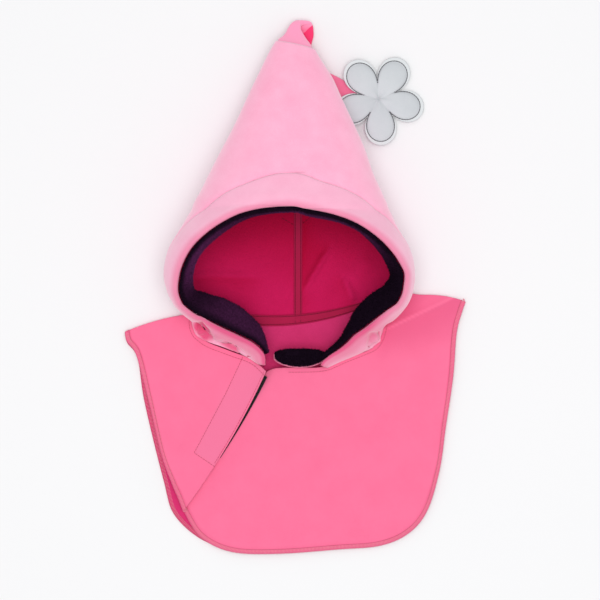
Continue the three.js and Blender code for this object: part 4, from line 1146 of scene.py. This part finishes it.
# %% Trees for running stitches and overlock
def stitch_tree(name, overlock):
    tree, given, made = new_tree(name, [
        ("Pitch", "NodeSocketFloat", 0.0032),
        ("Length", "NodeSocketFloat", 0.0024),
        ("Thread", "NodeSocketFloat", 0.0002),
        ("Bow", "NodeSocketFloat", 0.0003),
        ("Slant", "NodeSocketFloat", 0.0),
        ("Finish", "NodeSocketMaterial", None),
    ])
    rail = add_node(tree, "GeometryNodeMeshToCurve")
    even = add_node(tree, "GeometryNodeResampleCurve", mode="LENGTH")
    tangent = add_node(tree, "GeometryNodeInputTangent")
    up = add_node(tree, "GeometryNodeInputNamedAttribute", {"Name": "up"}, data_type="FLOAT_VECTOR")
    turn = add_node(tree, "FunctionNodeAxesToRotation", primary_axis="Z", secondary_axis="X")
    start = add_node(tree, "ShaderNodeCombineXYZ")
    end = add_node(tree, "ShaderNodeCombineXYZ")
    profile = add_node(tree, "GeometryNodeCurvePrimitiveCircle", {"Resolution": 4})
    tube = add_node(tree, "GeometryNodeCurveToMesh", {"Fill Caps": True})
    stand = add_node(tree, "GeometryNodeInstanceOnPoints")
    real = add_node(tree, "GeometryNodeRealizeInstances")
    soft = add_node(tree, "GeometryNodeSetShadeSmooth")
    finish = add_node(tree, "GeometryNodeSetMaterial")
    if overlock:
        bow = add_node(tree, "GeometryNodeCurvePrimitiveBezierSegment", {"Resolution": 7})
        handles = [add_node(tree, "ShaderNodeCombineXYZ"), add_node(tree, "ShaderNodeCombineXYZ")]
        lower = add_node(tree, "ShaderNodeMath", {1: -1.0}, operation="MULTIPLY")
        beyond = add_node(tree, "ShaderNodeMath", {1: -0.45}, operation="MULTIPLY")
        join(
            tree,
            (given.outputs["Bow"], lower.inputs[0]),
            (given.outputs["Length"], beyond.inputs[0]),
            (given.outputs["Length"], start.inputs[1]),
            (given.outputs["Bow"], start.inputs[2]),
            (given.outputs["Slant"], start.inputs[0]),
            (beyond.outputs[0], handles[0].inputs[1]),
            (given.outputs["Bow"], handles[0].inputs[2]),
            (beyond.outputs[0], handles[1].inputs[1]),
            (lower.outputs[0], handles[1].inputs[2]),
            (given.outputs["Length"], end.inputs[1]),
            (lower.outputs[0], end.inputs[2]),
            (handles[0].outputs[0], bow.inputs["Start Handle"]),
            (handles[1].outputs[0], bow.inputs["End Handle"]),
        )
    else:
        bow = add_node(tree, "GeometryNodeCurveQuadraticBezier", {"Resolution": 4})
        minus = add_node(tree, "ShaderNodeMath", {1: -0.5}, operation="MULTIPLY")
        plus = add_node(tree, "ShaderNodeMath", {1: 0.5}, operation="MULTIPLY")
        top = add_node(tree, "ShaderNodeCombineXYZ")
        join(
            tree,
            (given.outputs["Length"], minus.inputs[0]),
            (given.outputs["Length"], plus.inputs[0]),
            (minus.outputs[0], start.inputs[0]),
            (plus.outputs[0], end.inputs[0]),
            (given.outputs["Bow"], top.inputs[2]),
            (top.outputs[0], bow.inputs["Middle"]),
        )
    join(
        tree,
        (start.outputs[0], bow.inputs["Start"]),
        (end.outputs[0], bow.inputs["End"]),
        (given.outputs["Geometry"], rail.inputs["Mesh"]),
        (rail.outputs["Curve"], even.inputs["Curve"]),
        (given.outputs["Pitch"], even.inputs["Length"]),
        (given.outputs["Thread"], profile.inputs["Radius"]),
        (bow.outputs["Curve"], tube.inputs["Curve"]),
        (profile.outputs["Curve"], tube.inputs["Profile Curve"]),
        (up.outputs["Attribute"], turn.inputs["Primary Axis"]),
        (tangent.outputs["Tangent"], turn.inputs["Secondary Axis"]),
        (even.outputs["Curve"], stand.inputs["Points"]),
        (tube.outputs["Mesh"], stand.inputs["Instance"]),
        (turn.outputs["Rotation"], stand.inputs["Rotation"]),
        (stand.outputs["Instances"], real.inputs["Geometry"]),
        (real.outputs["Geometry"], soft.inputs["Geometry"]),
        (soft.outputs["Geometry"], finish.inputs["Geometry"]),
        (given.outputs["Finish"], finish.inputs["Material"]),
        (finish.outputs["Geometry"], made.inputs["Geometry"]),
    )
    return tree


running_stitch = stitch_tree("running_stitch", False)
overlock_stitch = stitch_tree("overlock_stitch", True)


def rails(name, paths):
    """Edges along each path, a list of points with a list of the directions that the cloth faces."""
    mesh = bpy.data.meshes.new(name)
    points = np.concatenate([path for path, _ in paths])
    ups = np.concatenate([unit(np.broadcast_to(up, path.shape)) for path, up in paths])
    edges, first = [], 0
    for path, _ in paths:
        edges += [(first + i, first + i + 1) for i in range(len(path) - 1)]
        first += len(path)
    mesh.from_pydata(((points + GARMENT_TO_FRAME) * MM).tolist(), edges, [])
    layer = mesh.attributes.new("up", "FLOAT_VECTOR", "POINT")
    layer.data.foreach_set("vector", ups.ravel())
    piece = bpy.data.objects.new(name, mesh)
    bpy.context.scene.collection.objects.link(piece)
    return piece


def sewn_piece(name, paths, slot, tree=running_stitch, **values):
    """A piece of stitches along paths; slot is not used."""
    return finish_piece(grown(rails(name, paths), tree, **values), None)


# %% [markdown]
# ## Hem of the cape
# The whole hem is overlocked in a dusty rose thread that is duller than the cloth. On the underside the loops look
# the same, so one loop round the edge at every 1.3 mm does for both, with a straight needle line at its inner end.

# %% Overlock the hem
HEM_WIDTH = 3.8
HEM_PITCH = 1.3
HEM_BOW = 0.375 * CLOTH + 0.04
HEM_SAMPLES = 1400


def cape_normal(line, down):
    along_line = cape_surface(line + 0.02, down) - cape_surface(line - 0.02, down)
    along_down = cape_surface(line, down + 0.004) - cape_surface(line, down - 0.004)
    return unit(np.cross(along_line, along_down))


hem_lines = np.linspace(0.01, LAST_LINE - 0.01, HEM_SAMPLES)
hem_edge = cape_surface(hem_lines, 1.0)
hem_up = cape_normal(hem_lines, 0.99)
hem = sewn_piece(
    "hem_overlock", [(hem_edge[::-1], hem_up[::-1])], "cape_cloth", overlock_stitch, Pitch=HEM_PITCH * MM,
    Length=HEM_WIDTH * MM, Thread=0.0003, Bow=HEM_BOW * MM, Slant=0.0009, Finish=hem_thread,
)
half_down = np.linalg.norm(hem_edge - cape_surface(hem_lines, 0.5), axis=1)
needle_line = cape_surface(hem_lines, 1 - (HEM_WIDTH + 0.3) / (2 * half_down))
needle_lift = hem_up * (CLOTH / 2 - 0.15)
hem_needle = sewn_piece(
    "hem_needle_line", [(needle_line + needle_lift, hem_up), (needle_line - needle_lift, -hem_up)], "cape_cloth",
    Pitch=0.0021, Length=0.0021, Thread=0.00022, Bow=0.0002, Slant=0.0, Finish=rose_thread,
)
print("hem length, mm:", round(np.linalg.norm(np.diff(hem_edge, axis=0), axis=1).sum()))

# %% [markdown]
# The placket that holds the closing tape is stitched down as a long rectangle beside the slit, and a line of
# stitches follows the neck seam. Their corners are given in the garment's own millimetres and the path is then laid
# on the front of the cape.

# %% Stitch the placket and the neck
UP = [0, 0, 1.0]
NECK_STITCH_INSET = 4.2
FRONT_LINES = np.linspace(0, 6, 240)


def front_height(plan):
    """The height of the left front's middle surface at places in plan."""
    cloth = cape_surface(FRONT_LINES[:, None], np.linspace(0, 1, 160)[None]).reshape(-1, 3)
    nearest = [np.argmin(np.sum((cloth[:, :2] - place) ** 2, axis=1)) for place in plan.reshape(-1, 2)]
    return cloth[nearest, 2].reshape(plan.shape[:-1])


def laid_on_front(corners, step=2.0):
    """Points along the corners, on top of the left front."""
    corners = np.array(corners, float)
    length = np.linalg.norm(np.diff(corners, axis=0), axis=1)
    reach = np.concatenate([[0], np.cumsum(length)])
    at = np.linspace(0, reach[-1], int(reach[-1] / step))
    plan = np.stack([np.interp(at, reach, corners[:, i]) for i in range(2)], axis=1)
    return np.column_stack([plan, front_height(plan) + CLOTH / 2])


def neck_stitch_path(first, last):
    """A path along the neck's edge, between two of the cape's lines."""
    lines = np.linspace(first, last, 260)
    length = np.linalg.norm(cape_surface(lines, 1.0) - cape_surface(lines, 0.0), axis=1)
    down = NECK_STITCH_INSET / length
    normal = cape_normal(lines, down)
    return cape_surface(lines, down) + normal * CLOTH / 2, normal


slit_path = cape_surface(0.12, np.linspace(0.02, 0.66, 120)) + [0, 0, CLOTH / 2]
top_stitches = sewn_piece(
    "cape_stitches",
    [(laid_on_front(PLACKET), UP), neck_stitch_path(0.05, 7.6), neck_stitch_path(19.4, 29.6), (slit_path, UP)],
    "cape_cloth", Pitch=0.0028, Length=0.0022, Thread=0.00028, Bow=0.0005, Slant=0.0, Finish=rose_thread,
)

# %% [markdown]
# ## Hook and loop closure
# Between the two fronts lie a hook strip and a loop strip. Only a sliver of the lower one shows, black, beside the
# free edge. They are short flat walls on the cape's own lines.

# %% Make the closure strips
TAPE = 0.7
SLIVER = 2.9
HIDDEN_EDGE = -3.0
STRIP_WIDTH = 16
STRIP_AIR = 0.05
STRIP_GRID = (13, 61)
SLIT_SLOPE = 0.59


def make_strip(name, visible, below):
    """A strip along the slit that shows by a width that tapers out, and lies below the upper front."""
    across, along = (np.linspace(0, 1, count) for count in STRIP_GRID)
    across, along = across[:, None], along[None]
    slit = cape_surface(0.0, 0.03 + 0.59 * along)
    aside = visible * (1 - 0.85 * along) - STRIP_WIDTH * across
    plan = slit[..., :2] + np.stack([aside, -SLIT_SLOPE * aside], axis=-1)
    points = np.concatenate([plan, front_height(plan)[..., None] - below], axis=-1)
    return wall(name, points[::-1], grid_faces(*STRIP_GRID), TAPE / 2, TAPE / 2, [closure_black])


under_cloth = CLOTH / 2 + TAPE / 2 + STRIP_AIR
loop_strip = make_strip("closure_loop_strip", SLIVER, under_cloth + TAPE + STRIP_AIR)
finish_piece(loop_strip, "closure_loop")
hook_strip = make_strip("closure_hook_strip", HIDDEN_EDGE, under_cloth)
finish_piece(hook_strip, "closure_hook")

# %% [markdown]
# ## Chin guard
# A small flap of the hood's cloth stands between the two ends of the rim, and a plush pad on it keeps the chin
# from the closure. Both are the same rounded outline at two sizes.

# %% Make the chin guard and its pad
CHIN = {"x": -0.3, "y": -55.2, "z": 14.4, "half_width": 24.5, "half_depth": 8.6, "curve": 2, "tip": 0.16}
CHIN_END = 0.12
CHIN_RISE = 2
CHIN_GRID = (21, 61)


def make_chin(name, scale, lift, half, shift, finish, tint):
    rows, width = CHIN_GRID
    u = np.linspace(-1, 1, width)[None]
    across = np.linspace(1, -1, rows)[:, None]
    depth = CHIN["half_depth"] * scale * (CHIN_END + (1 - CHIN_END) * np.sqrt(1 - 0.97 * u * u))
    x = CHIN["x"] + CHIN["half_width"] * scale * u + 0 * across
    y = CHIN["y"] + shift + CHIN["curve"] * u * u + depth * across
    z = CHIN["z"] + lift + CHIN["tip"] * depth * across + CHIN_RISE * (1 - u * u)
    points = np.stack([x, y, z], axis=-1)
    edge = np.clip(1 - np.maximum(np.abs(u), np.abs(across)) ** 8, 0.1, 1) ** 0.5
    thick = (half * edge).ravel()
    return wall(name, points, grid_faces(rows, width), thick, thick, [finish], tint + 0 * thick)


# The flap gets 0.7 of the brim's deeper pink, a painted shade for its place between the rim's ends, under the pad.
chin_guard = make_chin("chin_guard_cloth", 1, 0, CLOTH / 2, 0, brim_cloth, 0.7)
finish_piece(chin_guard, "chin_guard")
chin_pad = make_chin("chin_pad_plush", 0.94, CLOTH / 2 + PLUSH / 2 + 0.4, PLUSH / 2, 1.2, plush_finish, 0)
grown(chin_pad, pile, **TUFTS)
finish_piece(chin_pad, "chin_trim")

# %% [markdown]
# ## Tail
# The hood's point ends in a long narrow tail. It is folded over at the top of the hood and led back under it to
# the flower. It is a flattened tube along a table of rings, and where it folds over, its crimson inside turns out.

# %% Make the tail
TAIL_AROUND = 56
TAIL_STEPS = 12
MOUTH_DEPTH = 1.2
MOUTH_RINGS = 8
MOUTH_TUCK = 3.0
FOLD_OVER = 5.3
FOLD_LINE = (1, 250.6, 0.88)
FOLD_FOOT_Y = 240
SQUARER = -0.12
TAIL = columns("""
     x      y     z  width  thick    yaw  pitch
  -4.4  237.6    20     33   17.2  -12.4      0
  -4.8  241.2    19     32     14    -11     -8
  -5.2  247.8  15.5     21   10.5     -6    -16
  -5.6  254.4  12.5   13.5      7      2      0
  -3.4  260.2    10   10.5    5.6      4     50
   2.4  262.6   7.2     16      4     -4     92
   3.2  258.8   4.4   18.5    3.8     -3    150
   3.4  251.5   3.2     19    3.8     -2    172
   1.8    240   2.6   17.8    3.8      4    180
     4    227   2.5     22      4     16    180
    10    213   2.5     26      4     34    180
    23    202   2.5     29    4.2     52    180
    38    196   2.2     25    3.6     66    180
    51    192   1.9     16      3     73    180
    62    190   1.5      6    2.2     76    180
""")
ring_count = len(TAIL["x"])
tail_curve = {name: smooth_curve(np.arange(ring_count, dtype=float), v) for name, v in TAIL.items()}


def tail_rings(k, shrink):
    """Rings of the tail at the table's places k, flat ovals that are squarer than an ellipse."""
    at = {name: curve(k)[:, None] for name, curve in tail_curve.items()}
    yaw, pitch = np.radians(at["yaw"]), np.radians(at["pitch"])
    wide = np.stack([np.cos(yaw), np.sin(yaw), 0 * yaw], axis=-1)
    deep = np.stack([-np.sin(yaw) * np.sin(pitch), np.cos(yaw) * np.sin(pitch), np.cos(pitch)], axis=-1)
    a = np.linspace(0, 2 * np.pi, TAIL_AROUND, endpoint=False)[None]
    squarer = (np.abs(np.cos(a)) ** 4 + np.abs(np.sin(a)) ** 4) ** SQUARER
    middle = np.stack([at["x"], at["y"], at["z"]], axis=-1)
    side = ((at["width"] / 2 - shrink) * np.cos(a) * squarer)[..., None] * wide
    return middle + side + ((at["thick"] / 2 - shrink) * np.sin(a) * squarer)[..., None] * deep


def mouth_ring(shrink):
    """The tail's first ring lies just inside the crown's end, so no light comes between them."""
    a = np.linspace(0, 2 * np.pi, TAIL_AROUND, endpoint=False)
    turn = 0.5 + a / np.pi
    y = HOOD_TIP_Y - MOUTH_TUCK
    return hood(y, turn) - slopes(hood, y, turn)[2] * (CLOTH + 0.15 + shrink)


def tail_from_crown(k, shrink):
    """The tail's rings, led over from the mouth's shape within the first of them."""
    own = (1 - smooth_step(k, 0, 0.9))[:, None, None]
    return tail_rings(k, shrink) * (1 - own) + mouth_ring(shrink)[None] * own


def make_tail():
    k = np.linspace(0, ring_count - 1, (ring_count - 1) * TAIL_STEPS + 1)
    mouth = np.linspace(MOUTH_DEPTH, 0, MOUTH_RINGS)
    rings = np.concatenate([tail_from_crown(mouth, CLOTH), tail_from_crown(k, 0)])
    place = np.repeat(np.concatenate([mouth, k]), TAIL_AROUND)
    number = np.arange(len(place)).reshape(-1, TAIL_AROUND)
    after = np.roll(number, -1, axis=1)
    faces = np.stack([number[:-1], number[1:], after[1:], after[:-1]], axis=-1).reshape(-1, 4)
    points = rings.reshape(-1, 3)
    x, y = points[faces].mean(axis=1)[:, :2].T
    line_x, line_y, slant = FOLD_LINE
    beside = (x > line_x) & (y < line_y + slant * (x - line_x)) & (y > FOLD_FOOT_Y)
    turned_out = (place[faces[:, 0]] > FOLD_OVER) & beside
    inside = faces[:, 0] < MOUTH_RINGS * TAIL_AROUND
    which = np.concatenate([np.where(turned_out | inside, 1, 0), [1, 0]])
    # light is painted light: the tail's run up over the hood is a lighter pink than its end, which lies in shade
    # under the hood.
    light = smooth_step(7 - place, 0, 2)
    caps = [number[0].tolist(), number[-1][::-1].tolist()]
    return new_piece("tail_cloth", points, faces.tolist() + caps, [tail_cloth, turned_cloth], which, light)


tail = finish_piece(make_tail(), "tail")

# %% [markdown]
# ## Flower
# At the tail's end hangs a padded flower of reflective film. Two layers are sewn together a few millimetres
# inside their edge, so each petal is a small pillow with a flat border. Five round petals of one size are made by
# a cosine.

# %% Make the flower
FLOWER = {"x": 74.5, "y": 190.5, "z": 4.3, "petals": 5, "tip": 44, "notch": 17, "turn": 130, "slope": -0.07}
FLOWER_PAD = 1.7
FLOWER_BORDER = 0.45
BORDER_WIDTH = 4.0
PETAL_ROUNDNESS = 0.55
FLOWER_AROUND = 240
HUB_HALF = 0.5


def petal_reach(angle):
    petal = np.abs(np.cos((angle - np.radians(FLOWER["turn"])) * FLOWER["petals"] / 2))
    return FLOWER["notch"] + (FLOWER["tip"] - FLOWER["notch"]) * petal**PETAL_ROUNDNESS


def flower_place(angle, reach):
    x = reach * np.cos(angle)
    y = FLOWER["y"] + reach * np.sin(angle)
    return np.stack([FLOWER["x"] + x, y, FLOWER["z"] + FLOWER["slope"] * x], axis=-1)


def flower_surface():
    """Points, faces, the faces round the hub, half thickness and tint of the flower's middle surface."""
    angle = np.linspace(0, 2 * np.pi, FLOWER_AROUND, endpoint=False)
    reach = petal_reach(angle)[None]
    outer = 1 - BORDER_WIDTH / reach
    inside = np.linspace(0.02, 1, 30)[:, None] * outer
    border = outer + (1 - outer) * np.linspace(0.12, 1, 7)[:, None]
    share = np.concatenate([inside, border])
    rows, around = share.shape
    points = flower_place(angle[None], reach * share)
    s = np.clip(share / outer, 0, 1)
    pillow = FLOWER_PAD * np.sqrt(np.clip(1 - s**3, 0.02, 1))
    petal_angle = (angle - np.radians(FLOWER["turn"])) * FLOWER["petals"]
    pinch = 0.9 * bell(reach * share, 11) + 0.5 * bell(reach * share, 20) * (0.5 - 0.5 * np.cos(petal_angle))[None]
    thick = np.maximum(np.where(share <= outer, pillow - pinch, FLOWER_BORDER), 0.25)
    tint = np.where(share > outer * 1.004, 1.0, 0.0)
    number = np.arange(rows * around).reshape(rows, around)
    after = np.roll(number, -1, axis=1)
    faces = np.stack([number[:-1], number[1:], after[1:], after[:-1]], axis=-1).reshape(-1, 4)
    middle = rows * around
    hub = np.stack([np.full(around, middle), number[0], after[0], after[0]], axis=-1)
    centre_point = [[FLOWER["x"], FLOWER["y"], FLOWER["z"]]]
    all_points = np.concatenate([points.reshape(-1, 3), centre_point])
    thickness = np.append(thick.ravel(), HUB_HALF)
    return all_points, faces, hub, thickness, np.append(tint.ravel(), 0)


def make_flower():
    points, faces, hub, thick, tint = flower_surface()
    count = len(points)
    outer, inner = wall_points(points, faces, thick, thick)
    last = faces.reshape(-1, FLOWER_AROUND, 4)[-1]
    edge = np.stack([last[:, 2], last[:, 1], last[:, 1] + count, last[:, 2] + count], axis=1)
    outer[-1] = points[-1] + [0, 0, HUB_HALF]
    inner[-1] = points[-1] - [0, 0, HUB_HALF]
    hubs = [list(h[:3]) for h in hub.tolist()]
    under_hubs = [[h[0] + count, h[2] + count, h[1] + count] for h in hubs]
    all_faces = faces.tolist() + (faces[:, ::-1] + count).tolist() + edge.tolist() + hubs + under_hubs
    both = np.concatenate([tint, tint])
    return new_piece("flower_film", np.concatenate([outer, inner]), all_faces, [silver_film], None, both)


flower = finish_piece(make_flower(), "flower")

# %% Stitch the flower
angles = np.linspace(0, 2 * np.pi, 500)
for_stitch = flower_place(angles, petal_reach(angles) - BORDER_WIDTH + 0.3) + [0, 0, FLOWER_BORDER]
sewn_piece(
    "flower_stitches", [(for_stitch, UP)], "silver_cloth", Pitch=0.0026, Length=0.0023, Thread=0.0004, Bow=0.0006,
    Slant=0.0, Finish=grey_thread,
)

# %% [markdown]
# ## Seam tapes
# Inside, the middle seam of the back and the neck seam are covered with a narrow tape, stitched down along both of
# its edges. Both tapes are ribbons that follow the inside of the hood.

# %% Make the seam tapes
TAPE_COLUMNS = np.linspace(-1, 1, 9)
BACK_TAPE_HALF = 4.0
NECK_TAPE_HALF = 5.2
DART_FOOT_Y = 69


def back_turn(y, x):
    """The turn of the resting back at which the hood is at x."""
    turns = np.linspace(-0.3, 0.3, 601)
    return np.array([np.interp(target, plain_hood(one, turns)[:, 0], turns) for one, target in zip(y, x)])


def back_ribbon(y, offset):
    """A line down the inside of the back, an offset beside the middle seam."""
    turn = back_turn(y, BACK_SEAM_X + offset + 0 * y)
    return hood(y, turn) - slopes(hood, y, turn)[2] * (CLOTH / 2 + 0.5)


def neck_ribbon(turn, offset):
    """A line along the inside of the neck seam, an offset from it towards the hood's point."""
    y = np.full_like(turn, NECK_BACK_Y + 1.0)
    along_y = slopes(hood, y, turn)[0]
    point = hood(y, turn) + unit(along_y * [1, 1, 0]) * np.reshape(offset, (-1, 1))
    point[:, 2] = np.maximum(point[:, 2], CLOTH) + CLOTH / 2 + 0.35
    return point


def make_tape(name, line, half, over, stations):
    rows = np.stack([line(stations, s * half) for s in TAPE_COLUMNS], axis=1)
    faces = grid_faces(len(stations), len(TAPE_COLUMNS))[:, ::-1]
    return finish_piece(wall(name, rows, faces, over, 0.35, [tape_cloth]), None)


tape_y = np.linspace(120, NECK_BACK_Y - 1, 140)
tape_turns = np.linspace(-0.285, 0.285, 160)
back_tape = make_tape("back_seam_tape", back_ribbon, BACK_TAPE_HALF, 0.45, tape_y)
neck_tape = make_tape("neck_seam_tape", neck_ribbon, NECK_TAPE_HALF, 0.4, tape_turns)

# %% [markdown]
# Two rows of stitches hold each tape, and a small dart in the back is sewn in a V beside the middle seam.

# %% Stitch the tapes and the dart
def dart_side(x, y):
    """A line of stitches on the back from a place beside the middle seam down to it."""
    along = np.linspace(0, 1, 20)
    at_y = y + (DART_FOOT_Y - y) * along
    turn = back_turn(at_y, x + (BACK_SEAM_X - x) * along)
    return hood(at_y, turn) - slopes(hood, at_y, turn)[2] * CLOTH / 2


tape_edges = [back_ribbon(tape_y, s * BACK_TAPE_HALF) for s in (-0.65, 0.65)]
tape_edges += [neck_ribbon(tape_turns, s * NECK_TAPE_HALF) for s in (-0.7, 0.7)]
stitch_paths = [edge + [0, 0, 0.5] for edge in tape_edges] + [dart_side(-16, 77), dart_side(9, 78)]
tape_stitches = sewn_piece(
    "tape_stitches", [(path, UP) for path in stitch_paths], "hood_cloth", Pitch=0.0030, Length=0.0025,
    Thread=0.00025, Bow=0.0006, Slant=0.0, Finish=crimson_thread,
)

# %% [markdown]
# ## Cut sizes
# Cloth keeps its area when it is sewn and laid down. The crown was cut as two mirrored side panels of about
# 31 by 27 cm, the cape as a piece of a ring about 60 cm wide and 34 cm deep, and the chin guard as a small oval.


# %% [markdown]
# ## Table, light and camera
# The table is a plain near-white sheet. A bright even sky and one wide lamp above, a little towards the upper left,
# give the flat light of a product photograph with faint soft shadows. The camera hangs over the hood and looks
# straight down. Its place follows from the scale: it sees 0.95 mm a pixel on the table.

# %% Table
PIXELS = 600
MM_PER_PIXEL = 0.95
CAMERA_HEIGHT = 1.6
TABLE_HALF = 4.0

floor_mesh = bpy.data.meshes.new("table")
corners = [(TABLE_HALF * a, TABLE_HALF * b, 0) for a, b in ((-1, -1), (1, -1), (1, 1), (-1, 1))]
floor_mesh.from_pydata(corners, [], [(0, 1, 2, 3)])
floor = bpy.data.objects.new("table", floor_mesh)
floor.location.z = -0.0002
bpy.context.scene.collection.objects.link(floor)
white = bpy.data.materials.new("white_table")
white.use_nodes = True
white_shader = white.node_tree.nodes["Principled BSDF"]
white_shader.inputs["Base Color"].default_value = (0.865, 0.865, 0.875, 1)
white_shader.inputs["Roughness"].default_value = 0.9
white_shader.inputs["Specular IOR Level"].default_value = 0.1
floor_mesh.materials.append(white)

# %% Light
world = bpy.data.worlds.new("studio")
world.use_nodes = True
world.node_tree.nodes["Background"].inputs["Color"].default_value = (1, 1, 1, 1)
world.node_tree.nodes["Background"].inputs["Strength"].default_value = 0.69
bpy.context.scene.world = world
lamp = bpy.data.lights.new("softbox", "AREA")
lamp.shape = "SQUARE"
lamp.size = 1.6
lamp.energy = 24
softbox = bpy.data.objects.new("softbox", lamp)
softbox.location = (0.05, -0.1, 2.2)
bpy.context.scene.collection.objects.link(softbox)
bpy.context.scene.view_settings.view_transform = "Standard"

# %% Camera
lens = bpy.data.cameras.new("above")
lens.sensor_width = 36
lens.lens = lens.sensor_width / (PIXELS * MM_PER_PIXEL * MM) * CAMERA_HEIGHT
above = bpy.data.objects.new("above", lens)
above.location = (GARMENT_TO_FRAME[0] * MM, GARMENT_TO_FRAME[1] * MM, CAMERA_HEIGHT)
bpy.context.scene.collection.objects.link(above)
bpy.context.scene.camera = above
print("lens, mm:", round(lens.lens, 2))
